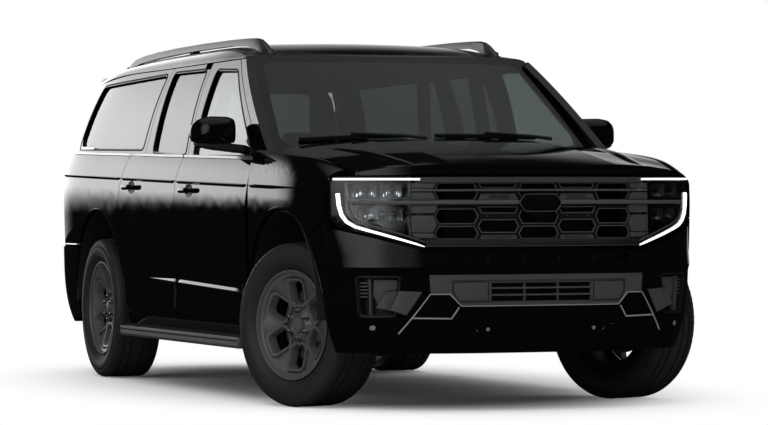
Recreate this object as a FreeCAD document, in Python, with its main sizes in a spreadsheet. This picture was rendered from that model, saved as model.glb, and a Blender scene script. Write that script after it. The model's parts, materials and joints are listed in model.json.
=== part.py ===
import FreeCAD, Part
import math
import os

# Long-wheelbase passenger SUV. Millimetres, +Z up, the front faces -Y, the vehicle's left is +X.
# The origin lies on the ground under the middle of the vehicle.

DOC = FreeCAD.newDocument("suv")
VECTOR = FreeCAD.Vector
X_AXIS = VECTOR(1, 0, 0)
Y_AXIS = VECTOR(0, 1, 0)
Z_AXIS = VECTOR(0, 0, 1)

SIZES = {
    "vehicle_length": 5636,
    "body_width": 2029,
    "wheelbase": 3343,
    "front_overhang": 968,
    "track_width": 1720,
    "tyre_diameter": 810,
    "tyre_width": 279,
    "rim_diameter": 543,
    "rim_width": 236,
    "rim_offset": 44,
    "hub_bore": 87,
    "lug_circle": 135,
    "spoke_count": 6,
    "steer_at_rest": 20.5,
    "kingpin_inset": 66,
    "sill_height": 330,
    "door_bottom": 404,
    "bumper_bottom": 285,
    "bumper_top": 772,
    "bumper_crest": 696,
    "bumper_undercut": 668,
    "lamp_bottom": 786,
    "lamp_top": 1128,
    "hood_front_height": 1186,
    "belt_front": 1243,
    "belt_rear": 1330,
    "crease_front": 1078,
    "crease_rear": 1192,
    "door_top": 1768,
    "roof_height": 1893,
    "rail_top": 1937,
    "arch_radius": 520,
    "arch_centre_height": 458,
    "wall_thickness": 72,
    "upper_wall": 46,
    "shell_thickness": 22,
    "roof_thickness": 30,
    "glass_thickness": 5,
    "panel_gap": 6,
    "hinge_depth": 16,
    "hinge_setback": 70,
    "rear_hinge_setback": 26,
    "pin_radius": 5,
    "pin_clearance": 0.3,
    "frame_rail_width": 92,
    "frame_rail_height": 150,
    "frame_rail_spacing": 836,
    "frame_rail_base": 330,
    "cross_member_height": 30,
    "axle_port_radius": 60,
    "floor_height": 500,
    "floor_thickness": 16,
    "seat_width": 520,
    "seat_depth": 500,
    "engine_width": 560,
    "engine_length": 640,
    "engine_height": 560,
    "engine_base": 470,
    "board_width": 150,
    "board_height": 58,
    "board_length": 2170,
    "rail_width": 44,
    "rail_spacing": 1290,
}

SHEET = DOC.addObject("Spreadsheet::Sheet", "sizes")
for row, (alias, number) in enumerate(SIZES.items(), start=1):
    SHEET.set("A%d" % row, alias)
    SHEET.set("B%d" % row, str(number))
    SHEET.setAlias("B%d" % row, alias)
DOC.recompute()


def size(alias):
    return float(SHEET.get(alias))


front_y = -size("vehicle_length") / 2
rear_y = size("vehicle_length") / 2
front_axle_y = front_y + size("front_overhang")
rear_axle_y = front_axle_y + size("wheelbase")
half_body = size("body_width") / 2
half_track = size("track_width") / 2
axle_z = size("tyre_diameter") / 2
gap = size("panel_gap")
wall = size("wall_thickness")
upper_wall = size("upper_wall")
shell = size("shell_thickness")
door_low = size("door_bottom")
door_high = size("door_top")
fit = size("pin_clearance")
pin = size("pin_radius")
floor_z = size("floor_height")
floor_low = floor_z - size("floor_thickness")
LOAD_FLOOR = 716
pieces = {}


def keep(label, shape):
    """Stores a finished shape as one sub-part of the document."""
    feature = DOC.addObject("Part::Feature", label)
    feature.Label = label
    feature.Shape = shape
    pieces[label] = feature
    return feature


def bound_box(name, length, width, height, position):
    """A box whose sides and place are expressions on the sheet."""
    block = DOC.addObject("Part::Box", name)
    block.setExpression("Length", length)
    block.setExpression("Width", width)
    block.setExpression("Height", height)
    for axis, expression in zip("xyz", position):
        block.setExpression("Placement.Base." + axis, expression)
    return block


def between(table, place):
    """Straight interpolation in a table of (place, value) stations."""
    for (first, first_value), (second, second_value) in zip(table, table[1:]):
        if place <= second:
            share = (place - first) / (second - first)
            return first_value + share * (second_value - first_value)
    return table[-1][1]


def spline(points):
    curve = Part.BSplineCurve()
    curve.interpolate([VECTOR(*point) for point in points])
    return curve.toShape()


def line(start, end):
    return Part.makeLine(VECTOR(*start), VECTOR(*end))


def offset_points(points, depth):
    """Moves a planar open chain of (a, b) points sideways, to its left when depth is positive."""
    moved = []
    last = len(points) - 1
    for index, (a, b) in enumerate(points):
        before = points[max(index - 1, 0)]
        after = points[min(index + 1, last)]
        da = after[0] - before[0]
        db = after[1] - before[1]
        span = math.hypot(da, db)
        moved.append((a - depth * db / span, b + depth * da / span))
    return moved


def box(x_range, y_range, z_range):
    corner = VECTOR(x_range[0], y_range[0], z_range[0])
    return Part.makeBox(x_range[1] - x_range[0], y_range[1] - y_range[0], z_range[1] - z_range[0], corner)


def cylinder(radius, length, base, direction):
    return Part.makeCylinder(radius, length, VECTOR(*base), direction)


def mirrored(shape):
    return shape.mirror(VECTOR(0, 0, 0), X_AXIS)


def rounded(corners, place):
    """A closed wire from (a, b, radius) corners; place turns a and b into a point in space."""
    edges = []
    previous = None
    first = None
    count = len(corners)
    for index, (a, b, radius) in enumerate(corners):
        corner = VECTOR(a, b, 0)
        before = VECTOR(*corners[index - 1][:2], 0) - corner
        after = VECTOR(*corners[(index + 1) % count][:2], 0) - corner
        before.normalize()
        after.normalize()
        start = end = corner
        if radius:
            half_angle = before.getAngle(after) / 2
            reach = radius / math.tan(half_angle)
            start = corner + before * reach
            end = corner + after * reach
            bisector = before + after
            bisector.normalize()
            middle = corner + bisector * (radius / math.sin(half_angle) - radius)
        if previous is not None:
            edges.append(Part.makeLine(place(previous.x, previous.y), place(start.x, start.y)))
        if radius:
            bend = Part.Arc(place(start.x, start.y), place(middle.x, middle.y), place(end.x, end.y))
            edges.append(bend.toShape())
        if first is None:
            first = start
        previous = end
    edges.append(Part.makeLine(place(previous.x, previous.y), place(first.x, first.y)))
    return Part.Wire(edges)


def side_prism(corners, x_start=400, x_end=1300):
    """A prism across the vehicle's left half from (y, z, radius) corners."""
    outer = rounded(corners, lambda y, z: VECTOR(x_end, y, z))
    return Part.Face(outer).extrude(VECTOR(x_start - x_end, 0, 0))


def front_prism(corners, y_start=-3000, y_end=-2000):
    """A prism along Y from (x, z, radius) corners."""
    face = Part.Face(rounded(corners, lambda x, z: VECTOR(x, y_start, z)))
    return face.extrude(VECTOR(0, y_end - y_start, 0))


def top_prism(corners, z_start, z_end):
    """A prism along Z from (x, y, radius) corners."""
    face = Part.Face(rounded(corners, lambda x, y: VECTOR(x, y, z_start)))
    return face.extrude(VECTOR(0, 0, z_end - z_start))


def both(shape):
    """The shape and its mirror image as two separate solids."""
    return Part.makeCompound([shape, mirrored(shape)])


def largest(shape):
    return max(shape.Solids, key=lambda solid: solid.Volume)


def tube(points, radius):
    """A round bar along straight runs with ball joints."""
    bar = None
    for start, end in zip(points, points[1:]):
        run = VECTOR(*end) - VECTOR(*start)
        part = Part.makeCylinder(radius, run.Length, VECTOR(*start), run)
        bar = part if bar is None else bar.fuse(part)
    for point in points[1:-1]:
        bar = bar.fuse(Part.makeSphere(radius + 0.5, VECTOR(*point)))
    return bar


# Body form: heights and plan taper along the vehicle.

FENDER_TOP = [(-2460, 1146), (-2300, 1196), (-2100, 1226), (-1850, 1248), (-1380, 1280)]
ROOF_EDGE_DROP = [(-900, 0), (1500, 0), (2000, 22), (2450, 52)]


def inset(y):
    """How far the body side has drawn in from its widest section."""
    bow = 5 * (y / 1400) ** 2
    end = max(abs(y) - 1900, 0) / 470
    return bow + 30 * end ** 2


def belt(y):
    share = (y - front_axle_y - 470) / (rear_axle_y + 600 - front_axle_y - 470)
    return size("belt_front") + share * (size("belt_rear") - size("belt_front"))


def crease(y):
    share = (y + 2324) / 4453
    return size("crease_front") + share * (size("crease_rear") - size("crease_front"))


def lower_profile(y):
    """Body side from the sill to the crease, as (x, z)."""
    edge = half_body - inset(y)
    sill = size("sill_height")
    top = crease(y)
    return [(edge - 58, sill), (edge - 36, sill + 76), (edge - 16, sill + 236),
            (edge - 7, sill + 406), (edge - 2, sill + 586), (edge, top - 60), (edge - 2, top)]


def shoulder_profile(y):
    """Body side from the crease to the belt."""
    edge = half_body - inset(y)
    low = crease(y)
    high = belt(y)
    return [(edge - 2, low), (edge - 16, low + (high - low) * 0.5), (edge - 44, high)]


def fender_profile(y):
    """Front wing from the crease over the shoulder to the hood's shut line."""
    edge = half_body - inset(y)
    low = crease(y)
    top = between(FENDER_TOP, y)
    return [(edge - 2, low), (edge - 14, low + (top - low) * 0.5), (edge - 46, top - 16),
            (edge - 112, top)]


def upper_profile(y):
    """Greenhouse side from the belt to the roof edge."""
    edge = half_body - inset(y)
    low = belt(y) - 26
    high = size("door_top") - between(ROOF_EDGE_DROP, y)
    return [(edge - 58, low), (edge - 92, low + (high - low) * 0.33),
            (edge - 142, low + (high - low) * 0.68), (edge - 208, high)]


def swept_slab(stations, profiles, depth):
    """A curved wall: each station's outer profiles, and the same moved inwards by depth."""
    wires = []
    for y in stations:
        outer = [profile(y) for profile in profiles]
        chain = outer[0] + [point for part in outer[1:] for point in part[1:]]
        inner_chain = offset_points(chain, depth)
        inner = []
        start = 0
        for part in outer:
            inner.append(inner_chain[start:start + len(part)])
            start += len(part) - 1
        edges = [spline([(x, y, z) for x, z in part]) for part in outer]
        edges.append(line((outer[-1][-1][0], y, outer[-1][-1][1]), (inner[-1][-1][0], y, inner[-1][-1][1])))
        edges += [spline([(x, y, z) for x, z in reversed(part)]) for part in reversed(inner)]
        edges.append(line((inner[0][0][0], y, inner[0][0][1]), (outer[0][0][0], y, outer[0][0][1])))
        wires.append(Part.Wire(edges))
    return Part.makeLoft(wires, True, False)


HEM_DEPTH = 10
SIDE_STATIONS = [-1380, -950, -480, 0, 480, 960, 1440, 1900, 2150, 2350]
UPPER_STATIONS = [-1500] + SIDE_STATIONS[1:]
FENDER_STATIONS = [-2450, -2370, -2200, -1850, -1600, -1374]
lower_slab = swept_slab(SIDE_STATIONS, [lower_profile, shoulder_profile], wall)
fender_slab = swept_slab(FENDER_STATIONS, [lower_profile, fender_profile], shell)
upper_slab = swept_slab(UPPER_STATIONS, [upper_profile], upper_wall)
side_wall = lower_slab.fuse(upper_slab)


def sunk(profiles):
    """The profiles joined and moved in by the depth of a door's hem."""
    def profile(y):
        chain = profiles[0](y)
        for part in profiles[1:]:
            chain = chain + part(y)[1:]
        return offset_points(chain, HEM_DEPTH)
    return profile


behind_hem = swept_slab(SIDE_STATIONS, [sunk([lower_profile, shoulder_profile])], wall + 20)
behind_hem = behind_hem.fuse(swept_slab(UPPER_STATIONS, [sunk([upper_profile])], upper_wall + 40))


NOSE_X = [0, 260, 420, 570, 700, 800, 880, 935, 965, 985]
NOSE_LOW = [0, 6, 24, 68, 128, 182, 260, 338, 412, 570]
NOSE_HIGH = [0, 12, 40, 92, 152, 218, 286, 338, 392, 520]
TAIL_X = [0, 400, 650, 780, 860, 915, 950, 970, 983]
TAIL_Y = [0, 14, 46, 92, 150, 222, 300, 385, 520]
NOSE_FACE = [(270, 58), (360, 32), (460, 16), (600, 13), (668, 13), (696, 0), (772, 16), (780, 33), (950, 33),
             (1100, 40), (1200, 62)]
TAIL_FACE = [(740, 70), (900, 66), (1100, 82), (1290, 122), (1340, 140), (1420, 184), (1560, 252),
             (1700, 332), (1810, 400)]
BUMPER_FACE = [(296, 40), (420, 8), (600, 0), (760, 14)]
TAIL_STATION = 2350


def side_half(y, z):
    """Half width of the lower body at a station and a height."""
    stations = [(height, x) for x, height in lower_profile(y) + shoulder_profile(y)[1:]]
    return between(stations, z)


def upper_half(y, z):
    stations = [(height, x) for x, height in upper_profile(y)]
    return between(stations, z)


def nose_curve(z):
    """Half of the front's plan curve at a height, from the middle to the side."""
    setback = between(NOSE_FACE, z)
    table = NOSE_LOW if z < 776 else NOSE_HIGH
    scale = side_half(-2350, min(z, 1000)) / side_half(-2350, 900)
    return [(x * scale, front_y + setback + back) for x, back in zip(NOSE_X, table)]


def tail_curve(z):
    setback = between(TAIL_FACE, z)
    scale = side_half(TAIL_STATION, z) / TAIL_X[-1]
    return [(x * scale, rear_y - setback - back) for x, back in zip(TAIL_X, TAIL_Y)]


def upper_tail_curve(z):
    setback = between(TAIL_FACE, z)
    scale = upper_half(TAIL_STATION - 100, z) / TAIL_X[-1]
    return [(x * scale, rear_y - setback - back * 0.8) for x, back in zip(TAIL_X, TAIL_Y)]


def bumper_curve(z):
    setback = between(BUMPER_FACE, z)
    scale = side_half(TAIL_STATION, z) / TAIL_X[-1]
    return [(x * scale, rear_y - setback - back) for x, back in zip(TAIL_X, TAIL_Y)]


def plan_slab(curve, heights, depth):
    """A wall that follows a plan curve, mirrored about the middle and lofted upwards."""
    wires = []
    for z in heights:
        half = curve(z)
        chain = [(-x, y) for x, y in reversed(half[1:])] + half
        inner = offset_points(chain, depth)
        edges = [spline([(x, y, z) for x, y in chain])]
        edges.append(line((*chain[-1], z), (*inner[-1], z)))
        edges.append(spline([(x, y, z) for x, y in reversed(inner)]))
        edges.append(line((*inner[0], z), (*chain[0], z)))
        wires.append(Part.Wire(edges))
    return Part.makeLoft(wires, True, False)


crest = size("bumper_crest")
undercut = size("bumper_undercut")
WEDGE_TOP = 940
lower_nose = plan_slab(nose_curve, [size("bumper_bottom"), 360, 460, 600, undercut], 60)
lower_nose = lower_nose.fuse([plan_slab(nose_curve, [undercut, crest], 60),
                              plan_slab(nose_curve, [crest, size("bumper_top")], 60)])
wedge_nose = plan_slab(nose_curve, [size("bumper_top"), WEDGE_TOP], 60)
upper_nose = plan_slab(nose_curve, [780, 950, 1100, 1200], 60)
lower_tail = plan_slab(tail_curve, [740, 900, 1100, 1290, 1340], -62)
upper_tail = plan_slab(upper_tail_curve, [1330, 1420, 1560, 1700, 1810], -50)
bumper_slab = plan_slab(bumper_curve, [300, 420, 600, 760], -60)


# Roof skin, and the room that the doors leave under its edge.
ROOF_TOP = [(-900, 128), (-780, 112), (-600, 72), (-400, 37), (-150, 10), (200, 0), (900, 2), (1500, 18),
            (2000, 50), (2330, 88)]
ROOF_SHAPE = [(1, 0), (0.985, 0.2), (0.93, 0.48), (0.82, 0.73), (0.5, 0.94), (0, 1)]


def roof_half(y):
    return half_body - inset(y) - 208


def roof_profile(y):
    """Roof from its left edge to the middle."""
    edge_z = door_high - between(ROOF_EDGE_DROP, y) + gap
    top_z = size("roof_height") - between(ROOF_TOP, y)
    top_z = max(top_z, edge_z + 12)
    return [(share * roof_half(y), edge_z + (top_z - edge_z) * lift) for share, lift in ROOF_SHAPE]


def roof_wire(y, depth):
    half = roof_profile(y)
    chain = half + [(-x, z) for x, z in reversed(half[:-1])]
    inner = [(x * (1 - depth / 900), z - depth) for x, z in chain]
    edges = [spline([(x, y, z) for x, z in chain])]
    edges.append(line((chain[-1][0], y, chain[-1][1]), (inner[-1][0], y, inner[-1][1])))
    edges.append(spline([(x, y, z) for x, z in reversed(inner)]))
    edges.append(line((inner[0][0], y, inner[0][1]), (chain[0][0], y, chain[0][1])))
    return Part.Wire(edges)


ROOF_STATIONS = [-900, -780, -600, -400, -150, 200, 900, 1500, 2000, 2306]
roof_skin = Part.makeLoft([roof_wire(y, size("roof_thickness")) for y in ROOF_STATIONS], True, False)
roof_room = roof_skin.copy()
roof_room.translate(VECTOR(0, 0, -8))
under_roof_edge = box((300, 782), (-1500, 1100), (1732, 1800))


def arch(axle_y, radius, x_start=400, x_end=1300):
    """The round opening of one wheel house on the left."""
    base = VECTOR(x_start, axle_y, size("arch_centre_height"))
    barrel = Part.makeCylinder(radius, x_end - x_start, base, X_AXIS)
    below = box((x_start, x_end), (axle_y - radius, axle_y + radius), (0, size("arch_centre_height")))
    return barrel.fuse(below)


DOOR_SET_BACK = 42
FRONT_EDGE = -1316
PILLAR_FOOT = -1366
DOOR_SPLIT_LOW = -82
DOOR_SPLIT_HIGH = -165
REAR_EDGE = 1042
PILLAR_TOP = -642
CORNER_TOP = 566
front_door_outline = [
    (FRONT_EDGE, door_low, 30), (FRONT_EDGE, 985, 60), (PILLAR_FOOT, 1120, 60), (PILLAR_FOOT, 1262, 8),
    (PILLAR_TOP, door_high, 60), (DOOR_SPLIT_HIGH, door_high, 12), (DOOR_SPLIT_HIGH + 2, 1246, 90),
    (DOOR_SPLIT_LOW - 9, 1020, 90), (DOOR_SPLIT_LOW, door_low, 30)]
rear_door_outline = [
    (DOOR_SPLIT_LOW + gap, door_low, 30), (DOOR_SPLIT_LOW - 9 + gap, 1020, 90),
    (DOOR_SPLIT_HIGH + 2 + gap, 1246, 90), (DOOR_SPLIT_HIGH + gap, door_high, 12),
    (CORNER_TOP, door_high, 30), (CORNER_TOP + 92, 1284, 0), (868, 1284, 50), (REAR_EDGE, 1010, 120),
    (REAR_EDGE, 760, 160), (934, 560, 160), (926, door_low, 30)]


def set_back(outline, middle_y):
    """The same outline with its rear edge moved forward, for the thick part behind the hem."""
    lift = {door_low: -12, door_high: 12}
    return [(y - (DOOR_SET_BACK if y > middle_y else 0), z + lift.get(z, 0), radius)
            for y, z, radius in outline]


def offset_prism(corners, amount, x_start=400, x_end=1300):
    """A side prism whose outline is moved outwards, for the opening that a panel shuts into."""
    wire = rounded(corners, lambda y, z: VECTOR(x_start, y, z)).makeOffset2D(amount)
    return Part.Face(wire).extrude(VECTOR(x_end - x_start, 0, 0))


def fitted_prism(corners, y_start, y_end):
    """A front prism whose outline is moved inwards, for a piece that fits the opening."""
    wire = rounded(corners, lambda x, z: VECTOR(x, y_start, z)).makeOffset2D(-fit)
    return Part.Face(wire).extrude(VECTOR(0, y_end - y_start, 0))


front_window = [(-1246, 1256, 25), (-668, 1706, 60), (-298, 1722, 30), (-262, 1270, 30)]
rear_window = [(-112, 1276, 30), (-100, 1732, 30), (506, 1738, 30), (512, 1302, 30)]
quarter_window = [(724, 1322, 30), (640, 1734, 30), (1985, 1716, 70), (2136, 1352, 60)]
front_hinge = (half_body - size("hinge_depth") - 4, FRONT_EDGE + size("hinge_setback"))
rear_hinge = (half_body - size("hinge_depth") - 4, DOOR_SPLIT_LOW + gap + size("rear_hinge_setback"))
HINGE_HEIGHTS = [520, 900]
HINGE_NOTCH = 90


def hinge_notch(place, edge_y, z):
    """The pocket in a door's front edge that its hinge arm swings in."""
    x, y = place
    return box((x - 200, x + 9), (edge_y - 20, y + 13), (z - HINGE_NOTCH / 2, z + HINGE_NOTCH / 2))


def door(outline, window, hinge, edge_y, middle_y, rooms):
    """One left door: skin, frame and beam in one, with its window cut and its hinge pockets."""
    rim = offset_prism(outline, 20, 300, 1100).cut(side_prism(set_back(outline, middle_y), 250, 1150))
    body = side_wall.common(side_prism(outline, 300, 1100))
    body = body.cut(behind_hem.common(rim.common(box((300, 1100), (middle_y, 3000), (0, 2000)))))
    body = body.cut(side_prism(window, 300, 1100))
    for z in HINGE_HEIGHTS:
        body = body.cut(hinge_notch(hinge, edge_y, z))
        body = body.cut(cylinder(pin + fit, 150, (*hinge, z - 75), Z_AXIS))
    return largest(body.cut(rooms))


def hinges(hinge, pillar_x, pillar_y):
    """Both hinge arms of one left door: a pin in the door's bores and a strap to the pillar."""
    x, y = hinge
    solids = []
    for z in HINGE_HEIGHTS:
        solids.append(box((pillar_x - 23, pillar_x + 23), (pillar_y, y + 7), (z - 22, z + 22)))
        bar = cylinder(pin, 149, (x, y, z - 74.5), Z_AXIS)
        strap = box((pillar_x, x), (y - 7, y + 7), (z - 22, z + 22))
        solids.append(bar.fuse(strap))
    return solids


# What lies ahead of the rear door's hinge swings inwards, so its top passes under the roof's edge.
swing_room = box((300, 1100), (-400, rear_hinge[1]), (1736, 1800))
front_door = door(front_door_outline, front_window, front_hinge, FRONT_EDGE, -300,
                  [roof_room, under_roof_edge])
rear_door = door(rear_door_outline, rear_window, rear_hinge, DOOR_SPLIT_LOW + gap, 300,
                 [roof_room, under_roof_edge, swing_room])
glass_slab = swept_slab(UPPER_STATIONS, [lambda y: offset_points(upper_profile(y), 14)],
                        size("glass_thickness"))
front_pane = glass_slab.common(offset_prism(front_window, -fit, 300, 1100))
rear_pane = glass_slab.common(offset_prism(rear_window, -fit, 300, 1100))
quarter_pane = glass_slab.common(offset_prism(quarter_window, -fit, 300, 1100))

# Mirror: a housing on a short arm at the front corner of the door's window.
mirror_x = 1010
housing = Part.makeLoft([
    rounded([(-1085, 1322, 40), (-1085, 1500, 60), (-960, 1530, 40), (-935, 1322, 30)],
            lambda y, z: VECTOR(mirror_x, y, z)),
    rounded([(-1110, 1310, 50), (-1110, 1520, 70), (-955, 1545, 40), (-930, 1310, 30)],
            lambda y, z: VECTOR(1080, y, z)),
    rounded([(-1060, 1318, 30), (-1060, 1470, 40), (-960, 1480, 30), (-945, 1318, 20)],
            lambda y, z: VECTOR(1186, y, z))], True, False)
arm = box((905, mirror_x + 40), (-1075, -975), (1262, 1318))
arm = arm.fuse(box((mirror_x - 8, mirror_x + 60), (-1070, -975), (1300, 1345)))
front_mirror = housing.fuse(arm).cut(box((mirror_x + 12, 1170), (-960, -900), (1335, 1500)))
front_mirror = largest(front_mirror.cut(side_wall)).removeSplitter()

for side, turn in (("left", lambda shape: shape), ("right", mirrored)):
    keep("front_door_" + side, turn(front_door))
    keep("rear_door_" + side, turn(rear_door))
    keep("front_door_glass_" + side, turn(front_pane))
    keep("rear_door_glass_" + side, turn(rear_pane))
    keep("mirror_" + side, turn(front_mirror))

# Quarter panels with the rear corners, and the sills under the doors.
open_sides = offset_prism(rear_door_outline, gap, 300, 1100)
open_sides = open_sides.fuse(offset_prism(front_door_outline, gap, 300, 1100))
GATE_TOP_Y = 2318
PILLAR_X = 820
INNER_SILL_X = PILLAR_X + 23
GATE_HALF = 838
GATE_HALF_TOP = 742
gate_zone = front_prism([(0, 700, 0), (GATE_HALF, 700, 0), (GATE_HALF, 1330, 0), (GATE_HALF_TOP, 1830, 0),
                         (0, 1830, 0)], GATE_TOP_Y - 200, 2900)
rear_arch = arch(rear_axle_y, size("arch_radius"))
front_arch = arch(front_axle_y, size("arch_radius"))
LAMP_LOW = 880
LAMP_HIGH = 1312
LAMP_INNER = 850
tail_lamp_zone = box((LAMP_INNER, 1100), (2440, 2900), (LAMP_LOW, LAMP_HIGH))
panel = side_wall.common(box((300, 1100), (CORNER_TOP - 20, TAIL_STATION), (778, 1900)))
corner = lower_tail.common(box((0, 1100), (TAIL_STATION, 2900), (778, 1336)))
corner = corner.fuse(upper_tail.common(box((0, 1100), (TAIL_STATION, 2900), (1336, 1770))))
panel = panel.fuse(corner).cut(open_sides).cut(rear_arch).cut(gate_zone)
panel = panel.cut(side_prism(quarter_window, 300, 1100)).cut(tail_lamp_zone)
quarter = largest(panel.cut(roof_skin))
keep("quarter_glass", both(quarter_pane))
lamp = lower_tail.common(box((LAMP_INNER + 1, 1100), (2441, 2900), (LAMP_LOW + 1, LAMP_HIGH - 1)))
lamp = lamp.cut(gate_zone)
keep("tail_lamps", both(largest(lamp)))

sill = side_wall.common(box((300, 1100), (-1326, 960), (size("sill_height") - 10, door_low - gap)))
sill = sill.fuse(box((INNER_SILL_X, half_body - 100), (-1290, 940), (374, door_low - gap)))
sill = sill.cut(rear_arch).cut(front_arch)
body_side = quarter.fuse(largest(sill))
keep("body_sides", Part.makeCompound(body_side.Solids + mirrored(body_side).Solids))

# Front wings.
wing = fender_slab.common(box((300, 1100), (-2414, PILLAR_FOOT + 60), (296, 1400)))
wing = wing.cut(offset_prism(front_door_outline, gap, 300, 1100)).cut(front_arch)
BUMPER_SIDE = [(-2100, 250, 0), (-2900, 250, 0), (-2900, 931, 0), (-2440, 931, 0), (-2100, 790, 0)]
wing = wing.cut(offset_prism(BUMPER_SIDE, gap))


def hood_half(y):
    """Half width of the hood, up to its shut line."""
    return half_body - inset(max(y, -2460)) - 112 - gap


def hood_room_wire(y):
    half = hood_half(y) + gap
    corners = [(half, 1000, 0), (half, 1400, 0), (-half, 1400, 0), (-half, 1000, 0)]
    return rounded(corners, lambda x, z: VECTOR(x, y, z))


hood_room = Part.makeLoft([hood_room_wire(y) for y in [-2860] + FENDER_STATIONS], True, True)
wing = largest(wing.cut(hood_room))
keep("front_wings", both(wing))

# Rear bumper.
lower_rear = side_wall.common(box((300, 1100), (1500, TAIL_STATION), (300, 772))).cut(rear_arch)
bumper_half = lower_rear.fuse(bumper_slab.common(box((0, 1100), (TAIL_STATION, 2900), (300, 760))))
rear_bumper = bumper_half.fuse(mirrored(bumper_half)).removeSplitter()
keep("rear_bumper", rear_bumper)

# Windscreen and pillars.
SCREEN_FOOT = 1262
SCREEN_HEAD = 1772
SCREEN_FOOT_Y = -1556
SCREEN_HEAD_Y = -806


def screen_curve(z, forward=0, reach=1):
    """Plan curve of the windscreen at a height."""
    share = (z - SCREEN_FOOT) / (SCREEN_HEAD - SCREEN_FOOT)
    middle = SCREEN_FOOT_Y + share * (SCREEN_HEAD_Y - SCREEN_FOOT_Y) - forward
    half = 900 - share * 130
    bow = 128 - share * 22
    return [(half * t * reach, middle + bow * (t * reach) ** 2) for t in (-1, -0.6, -0.25, 0, 0.25, 0.6, 1)]


def screen_slab(forward, depth, foot=SCREEN_FOOT, head=SCREEN_HEAD, reach=1):
    wires = []
    for z in (foot, (foot + head) / 2, head):
        outer = screen_curve(z, forward, reach)
        inner = [(x, y + depth) for x, y in outer]
        edges = [spline([(x, y, z) for x, y in outer]), line((*outer[-1], z), (*inner[-1], z))]
        edges += [spline([(x, y, z) for x, y in reversed(inner)]), line((*inner[0], z), (*outer[0], z))]
        wires.append(Part.Wire(edges))
    return Part.makeLoft(wires, True, False)


ahead = screen_slab(400, 408, 1600, 1960, 1.35)
roof = largest(roof_skin.cut(ahead))
keep("roof_panel", roof)

screen_edge = [(-836, 1288, 60), (836, 1288, 60), (722, 1752, 60), (-722, 1752, 60)]
windscreen = screen_slab(0, 9).common(front_prism(screen_edge, -1700, -500))
keep("windscreen", largest(windscreen))
frame_front = screen_slab(-1, 52).cut(front_prism([(x * (1 + 0.3 / 836), z, r) for x, z, r in screen_edge],
                                                  -1700, -500))
frame_front = frame_front.cut(box((-1100, 1100), (-2000, 0), (0, 1268)))
pillar_band = upper_slab.common(side_prism([(PILLAR_FOOT - 130, 1262, 0), (PILLAR_FOOT - 6, 1262, 0),
                                            (PILLAR_TOP - 6, door_high, 0), (PILLAR_TOP - 90, door_high, 0)]))
pillar_band = pillar_band.cut(offset_prism(front_door_outline, gap, 300, 1100))
cabin = frame_front.cut(offset_prism(front_door_outline, gap, 300, 1100))
cabin = cabin.cut(mirrored(offset_prism(front_door_outline, gap, 300, 1100)))
cabin = cabin.fuse(pillar_band).fuse(mirrored(pillar_band)).cut([roof_skin, wing, mirrored(wing)])


def bar(points, width, depth):
    """A square-section pillar between (x, y, z) points, built from straight runs."""
    solid = None
    near, far = -depth / 2, depth / 2
    corners = [(near, -width / 2), (far, -width / 2), (far, width / 2), (near, width / 2)]
    for ends in zip(points, points[1:]):
        wires = [Part.makePolygon([VECTOR(x + dx, y + dy, z) for dx, dy in corners + corners[:1]])
                 for x, y, z in ends]
        run = Part.makeLoft(wires, True, True)
        solid = run if solid is None else solid.fuse(run)
    return solid


rail_x = 706
b_pillar = bar([(PILLAR_X, -120, 440), (PILLAR_X, -120, 1200), (rail_x, -175, 1752)], 96, 46)
c_pillar = bar([(PILLAR_X, 860, 440), (PILLAR_X, 860, 1160), (rail_x, 610, 1752)], 90, 46)
hinge_pillar = box((PILLAR_X - 23, PILLAR_X + 3), (-1330, -1225), (440, 1262))
cant_rail = box((rail_x - 23, rail_x + 23), (-720, 2290), (1706, 1752))
inner_sill = box((PILLAR_X - 40, INNER_SILL_X), (-1330, 960), (374, 520))
side_ring = b_pillar.fuse([c_pillar, hinge_pillar, cant_rail, inner_sill])
straps = hinges(front_hinge, PILLAR_X, -1300) + hinges(rear_hinge, PILLAR_X, -120)
side_ring = side_ring.fuse(straps).cut([roof_skin, cabin])
keep("body_frame", both(side_ring.removeSplitter()))
keep("windscreen_frame", largest(cabin))

# Hood.
HOOD_TOP = [(-2860, 1160), (-2790, 1176), (-2700, 1194), (-2550, 1222), (-2300, 1258), (-2000, 1292),
            (-1700, 1320), (-1400, 1340)]
HOOD_SIDE = [(-2860, 1140), (-2700, 1143)] + FENDER_TOP
HOOD_REAR = -1606
HOOD_REAR_BOW = 132
LIP_BASE = size("lamp_top") + gap
bulge_share = 0.5


def hood_wire(y):
    top = between(HOOD_TOP, y)
    edge_z = between(HOOD_SIDE, y)
    half = hood_half(y)
    rise = top - edge_z
    bulge = [(-bulge_share * half, edge_z + rise * 0.9), (0, top), (bulge_share * half, edge_z + rise * 0.9)]
    flank = [(bulge_share * half, edge_z + rise * 0.9), (0.68 * half, edge_z + rise * 0.66),
             (0.86 * half, edge_z + rise * 0.36), (half, edge_z)]
    left = [(-x, z) for x, z in reversed(flank)]
    edges = [spline([(x, y, z) for x, z in part]) for part in (left, bulge, flank)]
    edges += [line((half, y, edge_z), (half, y, 1000)), line((half, y, 1000), (-half, y, 1000)),
              line((-half, y, 1000), (-half, y, edge_z))]
    return Part.Wire(edges)


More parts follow.
